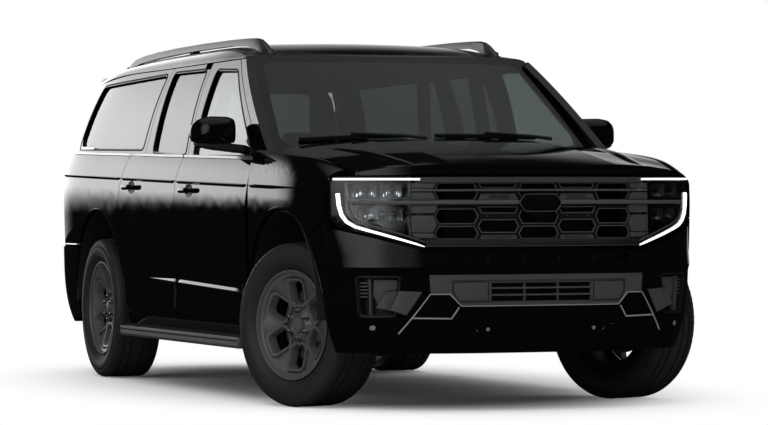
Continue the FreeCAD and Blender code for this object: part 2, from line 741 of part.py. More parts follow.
HOOD_STATIONS = [-2860, -2700, -2550, -2300, -2000, -1700, -1440]
hood_mass = Part.makeLoft([hood_wire(y) for y in HOOD_STATIONS], True, False)
lowered = hood_mass.copy()
lowered.translate(VECTOR(0, 0, -shell))
hood_skin = hood_mass.cut(lowered)
nose_plan = [(-x, y) for x, y in reversed(nose_curve(1180)[1:])] + nose_curve(1180)
rear_plan = [(x, HOOD_REAR + HOOD_REAR_BOW * (x / 900) ** 2) for x in (900, 500, 0, -500, -900)]
plan_edges = [spline([(x, y, 1000) for x, y in nose_plan]),
              line((*nose_plan[-1], 1000), (900, rear_plan[0][1], 1000)),
              spline([(x, y, 1000) for x, y in rear_plan]),
              line((-900, rear_plan[-1][1], 1000), (*nose_plan[0], 1000))]
hood_plan = Part.Face(Part.Wire(plan_edges)).extrude(VECTOR(0, 0, 500))
front_lip = upper_nose.common(hood_mass).common(box((-830, 830), (-3000, -2300), (LIP_BASE, 1300)))
hood = hood_skin.common(hood_plan).cut(box((-1100, 1100), (-3000, -2400), (900, LIP_BASE))).fuse(front_lip)
keep("hood", largest(hood))

# Cowl between the hood and the windscreen.
cowl_plan = [(-880, -1418), (-500, -1520), (0, -1558), (500, -1520), (880, -1418)]
cowl_front = [(880, -1462), (500, -1562), (0, -1598), (-500, -1562), (-880, -1462)]
cowl_edges = [spline([(x, y, 1236) for x, y in cowl_plan]), line((880, -1418, 1236), (880, -1462, 1236)),
              spline([(x, y, 1236) for x, y in cowl_front]), line((-880, -1462, 1236), (-880, -1418, 1236))]
cowl = Part.Face(Part.Wire(cowl_edges)).extrude(VECTOR(0, 0, 25))
firewall = box((-860, 860), (-1402, -1382), (floor_low, 1236)).cut(front_arch).cut(mirrored(front_arch))
keep("cowl_and_firewall", largest(cowl.fuse([firewall, box((-860, 860), (-1500, -1382), (1222, 1236))])))

# Front face.
LOWER_PANEL = [(-556, 660, 8), (556, 660, 8), (550, 572, 8), (464, 566, 8), (412, 510, 8), (-412, 510, 8),
               (-464, 566, 8), (-550, 572, 8)]
POCKET = [(682, 650, 16), (858, 650, 20), (842, 462, 24), (700, 462, 24)]
WEDGE = [(604, 760, 0), (604, 780, 0), (925, 875, 30), (1012, 922, 0), (1012, 760, 0)]
intake = [(-262, 622, 12), (262, 622, 12), (248, 540, 12), (-248, 540, 12)]
wedge = wedge_nose.common(front_prism(WEDGE, -3000, -2400))
wedge_side = fender_slab.common(side_prism(BUMPER_SIDE))
wedge = wedge.fuse(wedge_side.common(box((300, 1100), (-2416, -2100), (760, 1000))))
bumper = lower_nose.fuse([wedge, mirrored(wedge)]).cut(front_arch).cut(mirrored(front_arch))
bumper = bumper.cut(front_prism(LOWER_PANEL)).cut(front_prism(POCKET)).cut(mirrored(front_prism(POCKET)))
bumper = bumper.cut(front_prism([(-486, 758, 10), (486, 758, 10), (440, 722, 10), (-440, 722, 10)]))
keep("front_bumper", largest(bumper))
trim_slab = plan_slab(lambda z: offset_points(nose_curve(z), 6), [295, 460, 600, undercut], 46)
trim = trim_slab.common(fitted_prism(LOWER_PANEL, -3000, -2000)).cut(front_prism(intake))
intake_bars = [box((-272, 272), (-2800, -2776), (z - 5, z + 5)) for z in (568, 594)]
intake_bars += [box((x - 5, x + 5), (-2800, -2776), (530, 632)) for x in (-88, 88)]
trim = trim.fuse(intake_bars)
trim = largest(trim)
pocket_panel = plan_slab(lambda z: offset_points(nose_curve(z), 34), [440, 560, undercut], 20)
pocket = pocket_panel.common(front_prism([(x, z, r) for x, z, r in POCKET]))
pocket = largest(pocket)
keep("lower_grille", Part.makeCompound([trim, pocket, mirrored(pocket)]))

GRILLE = [(-592, 1124, 6), (592, 1124, 6), (592, 786, 6), (-592, 786, 6)]
frame_ring = upper_nose.common(front_prism(GRILLE))
frame_ring = frame_ring.cut(front_prism([(-560, 1104, 10), (560, 1104, 10), (560, 812, 10), (-560, 812, 10)]))
mesh_slab = plan_slab(lambda z: offset_points(nose_curve(z), 26), [790, 950, 1120], 22)
mesh = mesh_slab.common(front_prism([(-566, 1110, 10), (566, 1110, 10), (566, 806, 10), (-566, 806, 10)]))
CELL_PITCH = 212
CELL_HEIGHT = 79
CELL_SLANT = 46
cell_web = 11
cells = []
for column in range(-2, 3):
    lift = 0 if column % 2 == 0 else CELL_HEIGHT / 2
    for row in range(-2, 3):
        z = 958 + lift + row * CELL_HEIGHT
        x = column * CELL_PITCH
        half_cell = CELL_HEIGHT / 2 - cell_web / 2
        if z - half_cell < 812 or z + half_cell > 1104:
            continue
        reach = CELL_PITCH / 2 - cell_web / 2 + 18
        flat = reach - CELL_SLANT
        low, high = z - half_cell, z + half_cell
        cells.append(front_prism([(x - reach, z, 4), (x - flat, high, 4), (x + flat, high, 4),
                                  (x + reach, z, 4), (x + flat, low, 4), (x - flat, low, 4)]))
for cell in cells:
    mesh = mesh.cut(cell)
badge_plate = front_prism([(-114, 958, 0), (-80, 1002, 0), (80, 1002, 0), (114, 958, 0), (80, 914, 0),
                           (-80, 914, 0)], -2782, -2756)
stays = [box((x - 14, x + 14), (-2740, -2440), (1098, 1116)) for x in (-180, 180)]
grille = frame_ring.fuse([mesh, badge_plate] + stays)
keep("grille", largest(grille))
LAMP = [(598, 1128, 6), (1010, 1128, 6), (1010, 930, 10), (925, 882, 40), (598, 786, 6)]
lamp_body = upper_nose.common(front_prism(LAMP)).common(box((0, 1100), (-3000, -2420), (700, 1300)))
keep("headlamps", both(largest(lamp_body)))

# Tailgate with its window.
gate = lower_tail.common(box((-1100, 1100), (2000, 2900), (766, 1336)))
gate = gate.fuse(upper_tail.common(box((-1100, 1100), (2000, 2900), (1336, 1806))))
gate_limits = [(-GATE_HALF + gap, 766, 30), (GATE_HALF - gap, 766, 30), (GATE_HALF - gap, 1180, 0),
               (GATE_HALF - 16, 1330, 0), (GATE_HALF_TOP - 16, 1790, 40), (-GATE_HALF_TOP + 16, 1790, 40),
               (-GATE_HALF + 16, 1330, 0), (-GATE_HALF + gap, 1180, 0)]
gate = gate.common(front_prism(gate_limits, GATE_TOP_Y, 2900))
gate_window = [(-700, 1380, 50), (700, 1380, 50), (640, 1700, 60), (-640, 1700, 60)]
gate = gate.cut(front_prism(gate_window, 2000, 2900))
spoiler = side_prism([(2330, 1762, 0), (2330, 1786, 0), (2440, 1788, 40), (2526, 1768, 6), (2522, 1756, 6),
                      (2430, 1760, 0)], -690, 690)
gate = gate.fuse(spoiler)
keep("tailgate", largest(gate))
gate_glass = plan_slab(lambda z: offset_points(upper_tail_curve(z), -12), [1340, 1420, 1560, 1700, 1790], -6)
pane = gate_glass.common(fitted_prism(gate_window, 2000, 2900))
keep("tailgate_glass", largest(pane))

# Chassis: frame rails and cross members, bound to the sheet.
rails = []
for side, sign in (("left", ""), ("right", "-")):
    rails.append(bound_box("rail_" + side, "sizes.frame_rail_width", "sizes.vehicle_length - 560",
                           "sizes.frame_rail_height",
                           (sign + "sizes.frame_rail_spacing / 2 - sizes.frame_rail_width / 2",
                            "-sizes.vehicle_length / 2 + 250", "sizes.frame_rail_base")))
RAIL_TO_RAIL = "sizes.frame_rail_spacing - sizes.frame_rail_width"
BETWEEN_RAILS = "-sizes.frame_rail_spacing / 2 + sizes.frame_rail_width / 2"
for number, place in enumerate((260, 1250, 2050, 3050, 4000, 4700, 5180)):
    rails.append(bound_box("cross_member_%d" % number, RAIL_TO_RAIL, "90", "sizes.cross_member_height",
                           (BETWEEN_RAILS, "-sizes.vehicle_length / 2 + %d" % place,
                            "sizes.frame_rail_base + 20")))
rails.append(bound_box("engine_bearer", RAIL_TO_RAIL, "60", "14",
                       (BETWEEN_RAILS, "-sizes.vehicle_length / 2 + 960", "sizes.engine_base - 14")))
DOC.recompute()
frame_fuse = DOC.addObject("Part::MultiFuse", "frame_members")
frame_fuse.Shapes = rails
axle_port = DOC.addObject("Part::Cylinder", "axle_port")
axle_port.setExpression("Radius", "sizes.axle_port_radius")
axle_port.setExpression("Height", "sizes.body_width")
axle_port.Placement = FreeCAD.Placement(VECTOR(0, 0, 0), FreeCAD.Rotation(Y_AXIS, 90))
axle_port.setExpression("Placement.Base.x", "-sizes.body_width / 2")
axle_port.setExpression("Placement.Base.y",
                        "sizes.front_overhang + sizes.wheelbase - sizes.vehicle_length / 2")
axle_port.setExpression("Placement.Base.z", "sizes.tyre_diameter / 2")
DOC.recompute()
frame_cut = DOC.addObject("Part::Cut", "chassis_frame")
frame_cut.Base = frame_fuse
frame_cut.Tool = axle_port
pieces["chassis_frame"] = frame_cut

rail_half = size("frame_rail_spacing") / 2
rail_side = size("frame_rail_width") / 2
rail_face = rail_half + rail_side
rail_base = size("frame_rail_base")
SHAFT_Z = 420
PINION_Y = rear_axle_y - 340
rail_high = rail_base + size("frame_rail_height")
floor = box((-776, 776), (-1330, 976), (floor_low, floor_z))
floor = floor.fuse([box((-540, 540), (-1382, -1330), (floor_low, floor_z)),
                    box((-776, 776), (960, 976), (floor_low, LOAD_FLOOR)),
                    box((-640, 640), (960, 2660), (LOAD_FLOOR - 16, LOAD_FLOOR)),
                    box((-830, 830), (2050, 2660), (LOAD_FLOOR - 16, LOAD_FLOOR))])
for x in (-rail_half, rail_half):
    for y, top in ((-1200, floor_low), (-300, floor_low), (800, floor_low), (2400, LOAD_FLOOR - 16)):
        floor = floor.fuse(cylinder(45, top - rail_high, (x, y, rail_high), Z_AXIS))
keep("floor_pan", largest(floor.cut(rear_bumper).removeSplitter()))

engine = bound_box("engine_block", "sizes.engine_width", "sizes.engine_length", "sizes.engine_height",
                   ("-sizes.engine_width / 2", "-sizes.vehicle_length / 2 + 660", "sizes.engine_base"))
pieces["engine_block"] = engine
cooler = box((-380, 380), (-2500, -2430), (rail_high, 1090))
support = box((-820, 820), (-2440, -2410), (1080, 1110)).fuse([
    box((x - 30, x + 30), (-2440, -2400), (rail_high, 1090)) for x in (-rail_half, rail_half)])
support = support.fuse([box((-800, 800), (-2440, -2400), (700, 750)), cooler])
keep("radiator", support.removeSplitter())
member_top = rail_base + 20 + size("cross_member_height")
gearbox = box((-170, 170), (-1518, -900), (member_top, floor_low))
keep("gearbox", gearbox.fuse(cylinder(38, PINION_Y + 900, (0, -900, SHAFT_Z), Y_AXIS)))

LINER_RADIUS = size("arch_radius") - 8


def liner(axle_y, inner_x):
    barrel = arch(axle_y, LINER_RADIUS, inner_x, 985).cut(arch(axle_y, LINER_RADIUS - 6, inner_x - 1, 986))
    return barrel.common(box((0, 1100), (axle_y - 600, axle_y + 600), (330, 1100)))


front_liner = liner(front_axle_y, 560).common(box((0, 985), (-3000, 0), (440, 1100)))
rear_liner = liner(rear_axle_y, 646).fuse(arch(rear_axle_y, LINER_RADIUS, 640, 646).common(
    box((0, 1100), (0, 3000), (floor_low, 1100))))
front_liner = largest(front_liner)
arm_window = box((630, 656), (rear_axle_y - 140, rear_axle_y + 140), (400, 620))
rear_liner = largest(rear_liner.common(box((0, 1100), (0, 3000), (440, 1100))).cut(arm_window))
keep("wheel_liners", Part.makeCompound([both(front_liner), both(rear_liner)]))

# Running boards on brackets.
board_y = -1300
board_x = half_body - 120
board = box((board_x, board_x + size("board_width")), (board_y, board_y + size("board_length")),
            (266, 266 + size("board_height")))
board = board.makeFillet(16, board.Edges)
brackets = []
for y in (-1100, -250, 600):
    brackets.append(box((rail_half + 20, half_body - 100), (y - 25, y + 25), (286, 308)))
    brackets.append(box((rail_half + 20, rail_half + rail_side), (y - 25, y + 25), (300, rail_base)))
keep("running_boards", both(board.fuse(brackets)))

def rack_rail():
    """One raised rail: a long gently curved bar with a foot at each end."""
    x = size("rail_spacing") / 2
    half = size("rail_width") / 2
    top = size("rail_top")
    upper = spline([(x, -760, 1800), (x, -560, 1868), (x, -300, 1908), (x, 300, top),
                    (x, 1100, top - 8), (x, 1700, 1890), (x, 2080, 1828)])
    lower = spline([(x, 2080, 1806), (x, 1690, 1862), (x, 1100, 1898), (x, 300, 1906),
                    (x, -300, 1878), (x, -540, 1838), (x, -700, 1790)])
    face = Part.Face(Part.Wire([upper, line((x, 2080, 1828), (x, 2080, 1806)), lower,
                                line((x, -700, 1790), (x, -760, 1800))]))
    blade = face.extrude(VECTOR(half * 2, 0, 0))
    blade.translate(VECTOR(-half, 0, 0))
    posts = [box((x - half, x + half), (y - 70, y + 70), (1760, z)) for y, z in
             ((-560, 1850), (700, 1900), (1960, 1840))]
    return blade.fuse(posts).cut(roof_skin)


keep("roof_rails", both(largest(rack_rail())))


# Wheels: each is modelled about its own centre with the axle along X and the outside toward +X.
def plane_of(body, role):
    return next(item for item in body.Origin.OriginFeatures if item.Role == role)


def body_sketch(body, name, role, loops):
    """A sketch on one of the body's origin planes from closed loops of points."""
    sketch = body.newObject("Sketcher::SketchObject", name)
    sketch.AttachmentSupport = [(plane_of(body, role), "")]
    sketch.MapMode = "FlatFace"
    for loop in loops:
        for start, end in zip(loop, loop[1:] + loop[:1]):
            sketch.addGeometry(Part.LineSegment(VECTOR(*start, 0), VECTOR(*end, 0)), False)
    return sketch


def revolved_body(name, profile):
    """A body turned about X from an (x, radius) profile."""
    body = DOC.addObject("PartDesign::Body", name)
    sketch = body_sketch(body, name + "_profile", "XZ_Plane", [profile])
    turn = body.newObject("PartDesign::Revolution", name + "_turned")
    turn.Profile = sketch
    turn.ReferenceAxis = (sketch, ["H_Axis"])
    turn.Angle = 360
    DOC.recompute()
    return body


def polar_pocket(body, name, loops, count):
    """Windows cut along the axle and repeated around it."""
    sketch = body_sketch(body, name + "_outline", "YZ_Plane", loops)
    pocket = body.newObject("PartDesign::Pocket", name)
    pocket.Profile = sketch
    pocket.Type = "ThroughAll"
    pocket.Midplane = True
    DOC.recompute()
    pattern = body.newObject("PartDesign::PolarPattern", name + "_pattern")
    pattern.Originals = [pocket]
    pattern.Axis = (sketch, ["N_Axis"])
    pattern.Angle = 360
    pattern.Occurrences = count
    body.Tip = pattern
    DOC.recompute()


rim_r = size("rim_diameter") / 2
rim_half = size("rim_width") / 2
mount_x = size("rim_offset")
bore = size("hub_bore") / 2
seat_r = rim_r - 15.5
rim = revolved_body("rim", [
    (rim_half, rim_r), (rim_half, rim_r - 9), (rim_half - 18, rim_r - 25), (66, 112), (74, 94), (74, 0),
    (mount_x + 18, 0), (mount_x + 18, bore), (mount_x, bore), (mount_x, 86), (36, 116), (58, rim_r - 47),
    (-rim_half + 14, rim_r - 40), (-rim_half + 12, rim_r - 22), (-rim_half, rim_r - 9), (-rim_half, rim_r),
    (-rim_half + 8, rim_r), (-rim_half + 20, seat_r), (rim_half - 20, seat_r), (rim_half - 8, rim_r)])
spokes = int(size("spoke_count"))


def polar(radius, degrees):
    return (radius * math.cos(math.radians(degrees)), radius * math.sin(math.radians(degrees)))


WINDOW_ANGLE = 30
WINDOW = [(108, -10), (150, -17), (218, -15), (218, 15), (150, 17), (108, 10)]
wide_window = [polar(radius, WINDOW_ANGLE + angle) for radius, angle in WINDOW]
fork_window = [polar(176, 0), polar(218, -7), polar(218, 7)]
polar_pocket(rim, "rim_window", [wide_window], spokes)
polar_pocket(rim, "rim_fork", [fork_window], spokes)
crown = size("tyre_diameter") / 2
half_tyre = size("tyre_width") / 2
groove = 8


def tyre_profile():
    outer = [(rim_half - 21, seat_r + 0.3), (rim_half - 12.6, rim_r + 0.7), (half_tyre, rim_r + 58),
             (half_tyre - 3, crown - 40), (half_tyre - 21, crown - 12), (half_tyre - 31, crown - 6)]
    grooves = []
    for x in (72, 24):
        grooves += [(x + 6, crown), (x + 5, crown - groove), (x - 5, crown - groove), (x - 6, crown)]
    top = outer + grooves
    inner = [(98, crown - 22), (122, crown - 52), (124, rim_r + 50), (96, rim_r + 6),
             (rim_half - 33, seat_r + 0.3)]
    mirror_top = [(-x, r) for x, r in reversed(top)]
    return top + mirror_top + [(-x, r) for x, r in reversed(inner)] + inner


tyre = revolved_body("tyre", tyre_profile())

disc = cylinder(172, 26, (-14, 0, 0), X_AXIS).fuse(cylinder(88, 58, (-14, 0, 0), X_AXIS))
disc = disc.cut([cylinder(bore, 80, (-20, 0, 0), X_AXIS), cylinder(78, 50, (-14, 0, 0), X_AXIS)])
lug_ring = size("lug_circle") / 2
lug_nuts = []
for number in range(spokes):
    y, z = polar(lug_ring, WINDOW_ANGLE + number * 360 / spokes)
    lug_nuts.append(Part.makeCylinder(11, 14, VECTOR(73.9, y, z), X_AXIS))
steer = size("steer_at_rest")
kingpin_x = half_track - size("kingpin_inset")


def stood(shape, x_sign, axle_y, turned=0):
    """Places a wheel piece on its axle, turned about the kingpin when it steers."""
    placed = shape.copy()
    if x_sign < 0:
        placed.rotate(VECTOR(0, 0, 0), Z_AXIS, 180)
    placed.translate(VECTOR(x_sign * half_track, axle_y, axle_z))
    if turned:
        placed.rotate(VECTOR(x_sign * kingpin_x, axle_y, 0), Z_AXIS, turned)
    return placed


CORNERS = [("front_left", 1, front_axle_y, steer), ("front_right", -1, front_axle_y, steer),
           ("rear_left", 1, rear_axle_y, 0), ("rear_right", -1, rear_axle_y, 0)]
rim_shape = rim.Shape.fuse(lug_nuts + [disc])
for name, sign, axle_y, turned in CORNERS:
    keep("rim_" + name, stood(rim_shape, sign, axle_y, turned))
    keep("tyre_" + name, stood(tyre.Shape, sign, axle_y, turned))

# Knuckles and suspension, in the same wheel frame.
PIN_X = -size("kingpin_inset")
stub = Part.makeCylinder(bore - fit, mount_x + 17.5 + 60, VECTOR(-60, 0, 0), X_AXIS)
upright = box((PIN_X - 32, PIN_X + 30), (-48, 48), (-128, 128))
caliper = box((-44, 30), (92, 176), (-80, 80)).cut(Part.makeCylinder(176, 34, VECTOR(-18, 0, 0), X_AXIS))
caliper = caliper.common(Part.makeCylinder(206, 100, VECTOR(-50, 0, 0), X_AXIS))
bracket = box((-60, -36), (0, 120), (-50, 50))
knuckle = upright.fuse([stub, caliper, bracket])
knuckle = knuckle.cut(Part.makeCylinder(14.3, 400, VECTOR(PIN_X, 0, -200), Z_AXIS))
for name, sign, axle_y, turned in CORNERS[:2]:
    keep("knuckle_" + name[6:], stood(knuckle, sign, axle_y, turned))


def wishbone(axle_y, z, reach_y, pin_x, thickness):
    """A suspension arm from the frame rail to the knuckle's ball joint."""
    start = rail_face
    corners = [(start, axle_y - reach_y, 10), (pin_x + 10, axle_y - 24, 14), (pin_x + 10, axle_y + 24, 14),
               (start, axle_y + reach_y, 10)]
    window = [(start + 30, axle_y - reach_y + 50, 10), (pin_x - 90, axle_y - 24, 10),
              (pin_x - 90, axle_y + 24, 10), (start + 30, axle_y + reach_y - 50, 10)]
    return top_prism(corners, z, z + thickness).cut(top_prism(window, z - 5, z + thickness + 5))


def coil(axle_y, foot, head):
    run = VECTOR(*head) - VECTOR(*foot)
    strut = Part.makeCylinder(24, run.Length, VECTOR(*foot), run)
    spring = Part.makeCylinder(52, run.Length * 0.6, VECTOR(*foot) + run * 0.3, run)
    return strut.fuse(spring)


def arm_seat(axle_y):
    """The bracket on the frame rail that both arms of a wheel turn on."""
    return box((rail_face, rail_face + 24), (axle_y - 150, axle_y + 150), (low_z, high_z + 24))


low_z = axle_z - 128.3 - 30
high_z = axle_z + 128.3
front_arms = wishbone(front_axle_y, low_z, 150, kingpin_x, 30).fuse(
    wishbone(front_axle_y, high_z, 110, kingpin_x, 24))
king_bar = cylinder(14, high_z - low_z, (kingpin_x, front_axle_y, low_z), Z_AXIS)
front_set = front_arms.fuse([king_bar, coil(front_axle_y, (640, front_axle_y, low_z + 20),
                                            (rail_face + 60, front_axle_y, 700))])
tower = box((rail_face, rail_face + 90), (front_axle_y - 130, front_axle_y - 70), (rail_high - 100, 740))
tower = tower.fuse(box((rail_face, rail_face + 110), (front_axle_y - 130, front_axle_y + 60), (690, 714)))
front_set = front_set.fuse([tower, arm_seat(front_axle_y)])
keep("front_suspension", both(largest(front_set)))
rear_upright = box((PIN_X - 32, PIN_X + 30), (-48, 48), (-128, 128)).fuse([stub, caliper, bracket])
rear_set = stood(rear_upright, 1, rear_axle_y).fuse([
    wishbone(rear_axle_y, low_z, 140, kingpin_x, 30), wishbone(rear_axle_y, high_z, 100, kingpin_x, 24),
    coil(rear_axle_y, (620, rear_axle_y, low_z + 20), (rail_face + 70, rear_axle_y, 660)),
    arm_seat(rear_axle_y)])
rear_shaft = cylinder(20, kingpin_x - 150, (150, rear_axle_y, axle_z), X_AXIS)
rear_set = rear_set.fuse(rear_shaft)
casing = Part.makeSphere(120, VECTOR(0, rear_axle_y, axle_z)).fuse(
    cylinder(60, 330, (-165, rear_axle_y, axle_z), X_AXIS))
rear_axle = rear_set.fuse([mirrored(rear_set), casing, cylinder(24, 240, (0, PINION_Y, SHAFT_Z), Y_AXIS)])
keep("rear_suspension", rear_axle)

# Cabin: dashboard, seats, and what hangs under the floor.
dash = box((-790, 790), (-1382, -1080), (820, 1180))
dash = dash.fuse([box((-150, 150), (-1080, -180), (floor_z, 760)),
                  box((-150, 150), (-1382, -1080), (floor_z, 830))])
steering_hub = VECTOR(420, -1000, 1040)
wheel_ring = Part.makeTorus(185, 15, steering_hub, VECTOR(0, 1, 0.45))
column = Part.makeCylinder(34, 200, steering_hub - VECTOR(0, 1, 0.45) * 150, VECTOR(0, 1, 0.45))
spoke_bar = box((240, 600), (-1020, -990), (1025, 1055))
dash = dash.fuse([wheel_ring, column, spoke_bar])
keep("dashboard", largest(dash))


def seat(x, y, width, base_z, back_top):
    """One seat: cushion, leaning back and head restraint as one soft solid on a plain base."""
    half = width / 2
    depth = size("seat_depth")
    cushion = [(y, base_z + 90, 30), (y, base_z + 190, 40), (y + depth, base_z + 160, 20),
               (y + depth, base_z + 90, 20)]
    back = [(y + depth - 90, base_z + 120, 20), (y + depth + 110, back_top, 40),
            (y + depth + 210, back_top - 20, 40), (y + depth + 60, base_z + 100, 30)]
    head = [(y + depth + 120, back_top - 10, 5), (y + depth + 110, back_top + 150, 30),
            (y + depth + 205, back_top + 150, 30), (y + depth + 195, back_top - 20, 5)]
    parts = []
    for outline, inset_x in ((cushion, 0), (back, 0), (head, half - 130)):
        parts.append(side_prism(outline, x - half + inset_x, x + half - inset_x))
    foot = box((x - half + 60, x + half - 60), (y + 60, y + depth - 40), (base_z, base_z + 90))
    return parts[0].fuse([parts[1], parts[2], foot]).removeSplitter()


seats = []
for x in (-430, 430):
    seats.append(seat(x, -760, size("seat_width"), floor_z, 1190))
    seats.append(seat(x, 190, size("seat_width"), floor_z, 1200))
for x in (-340, 0, 340):
    seats.append(seat(x, 1130, 330, floor_z + 216, 1300))
keep("seats", Part.makeCompound(seats))
PIPE = 30
pipe_z = member_top + PIPE + fit
silencer = cylinder(60, 600, (230, 400, pipe_z), Y_AXIS)
pipe = tube([(130, -900, pipe_z), (130, -840, pipe_z), (230, -640, pipe_z), (230, 1300, pipe_z),
             (230, 1440, 290), (230, 2050, 290), (560, 2250, 290), (560, 2640, 290)], PIPE)
keep("exhaust", pipe.fuse(silencer))
keep("fuel_tank", box((-368, -70), (330, 1175), (350, floor_low)))
keep("spare_wheel", Part.makeCylinder(385, 200, VECTOR(0, 1990, rail_high + fit), Z_AXIS))
receiver = box((-32, 32), (2440, 2800), (230, 294)).cut(box((-25.5, 25.5), (2500, 2801), (236.5, 287.5)))
receiver = receiver.cut(cylinder(8, 100, (-50, 2740, 262), X_AXIS))
hitch = receiver.fuse(box((-464, 464), (2440, 2500), (234, 290)))
hitch = hitch.fuse([box((x - 46, x + 46), (2420, 2500), (250, rail_base)) for x in (-rail_half, rail_half)])
keep("hitch_receiver", largest(hitch.removeSplitter()))

DOC.recompute()
for item in DOC.Objects:
    if "Invalid" in item.State or "Error" in item.State:
        raise RuntimeError("not rebuilt: " + item.Name)
for name, piece in pieces.items():
    if piece.Shape.isNull() or not piece.Shape.isValid():
        raise RuntimeError("not a valid solid: " + name)
os.makedirs("parts", exist_ok=True)
for name, piece in pieces.items():
    piece.Shape.exportStep("parts/" + name + ".step")
print(len(pieces), "pieces")
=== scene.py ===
import bpy
import bmesh
import json
import math
from mathutils import Matrix, Vector
from mathutils.bvhtree import BVHTree

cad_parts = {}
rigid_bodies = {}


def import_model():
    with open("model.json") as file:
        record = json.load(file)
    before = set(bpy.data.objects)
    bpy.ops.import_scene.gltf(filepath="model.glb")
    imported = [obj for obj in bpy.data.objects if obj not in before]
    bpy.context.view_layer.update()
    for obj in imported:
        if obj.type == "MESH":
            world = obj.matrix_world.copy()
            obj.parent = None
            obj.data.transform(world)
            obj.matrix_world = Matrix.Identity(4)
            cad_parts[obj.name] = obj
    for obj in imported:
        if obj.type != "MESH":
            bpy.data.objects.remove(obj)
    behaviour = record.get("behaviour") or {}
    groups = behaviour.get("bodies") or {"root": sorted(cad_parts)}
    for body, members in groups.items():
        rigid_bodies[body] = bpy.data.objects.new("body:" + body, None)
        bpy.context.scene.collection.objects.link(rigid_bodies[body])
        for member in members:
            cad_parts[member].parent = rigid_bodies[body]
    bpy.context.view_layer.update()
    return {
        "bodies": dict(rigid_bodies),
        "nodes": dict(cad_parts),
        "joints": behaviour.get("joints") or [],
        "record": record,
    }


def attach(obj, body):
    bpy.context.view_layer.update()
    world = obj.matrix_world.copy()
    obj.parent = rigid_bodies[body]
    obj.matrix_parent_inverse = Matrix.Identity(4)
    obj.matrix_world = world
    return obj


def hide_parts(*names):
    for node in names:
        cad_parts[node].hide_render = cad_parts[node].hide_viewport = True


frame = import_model()
nodes = frame["nodes"]
print("frame loaded:", len(nodes), "CAD nodes")


# Camera, at the photograph's angle. Metres and degrees.
cameraPlace = {"position": (-6.311, -17.630, 0.9578), "azimuth": -20.3735, "elevation": 0.0055,
               "roll": -0.2503, "lens": 158.18}


def makeCamera(place):
    a, e = math.radians(place["azimuth"]), math.radians(place["elevation"])
    back = Vector((math.sin(a) * math.cos(e), -math.cos(a) * math.cos(e), math.sin(e)))
    right = Vector((math.cos(a), math.sin(a), 0))
    up = back.cross(right)
    turned = Matrix.Rotation(math.radians(place["roll"]), 3, back)
    camera = bpy.data.objects.new("camera", bpy.data.cameras.new("camera"))
    camera.data.lens = place["lens"]
    camera.data.sensor_width = 36
    camera.data.clip_end = 200
    matrix = (turned @ Matrix((right, up, back)).transposed()).to_4x4()
    matrix.translation = Vector(place["position"])
    camera.matrix_world = matrix
    bpy.context.scene.collection.objects.link(camera)
    bpy.context.scene.camera = camera


makeCamera(cameraPlace)


# Materials. Each is built from what the real one is; patterns are in metres of object space.
def hexColour(code):
    parts = [int(code[i:i + 2], 16) / 255 for i in (1, 3, 5)]
    return [c / 12.92 if c <= 0.04045 else ((c + 0.055) / 1.055) ** 2.4 for c in parts] + [1]


def addNode(tree, kind, inputs=None, **settings):
    node = tree.nodes.new(kind)
    for name, value in settings.items():
        setattr(node, name, value)
    for name, value in (inputs or {}).items():
        if isinstance(value, bpy.types.NodeSocket):
            tree.links.new(value, node.inputs[name])
        else:
            node.inputs[name].default_value = value
    return node


def newSurface(name, code, roughness, sockets):
    material = bpy.data.materials.new(name)
    material.use_nodes = True
    tree = material.node_tree
    shader = tree.nodes["Principled BSDF"]
    shader.inputs["Base Color"].default_value = hexColour(code)
    shader.inputs["Roughness"].default_value = roughness
    for socket, value in sockets.items():
        shader.inputs[socket].default_value = value
    return material, tree, shader


def addGrain(tree, shader, size, depth, detail=3):
    place = addNode(tree, "ShaderNodeTexCoord")
    noise = addNode(tree, "ShaderNodeTexNoise", {"Vector": place.outputs["Object"], "Scale": 1 / size,
                                                 "Detail": detail})
    bump = addNode(tree, "ShaderNodeBump", {"Height": noise.outputs[0], "Distance": depth, "Strength": 1})
    tree.links.new(bump.outputs[0], shader.inputs["Normal"])
    return noise


def varyColour(tree, shader, noise, dark, light):
    mix = addNode(tree, "ShaderNodeMix", {"Factor": noise.outputs[0], "A": hexColour(dark),
                                          "B": hexColour(light)}, data_type="RGBA")
    tree.links.new(mix.outputs[2], shader.inputs["Base Color"])


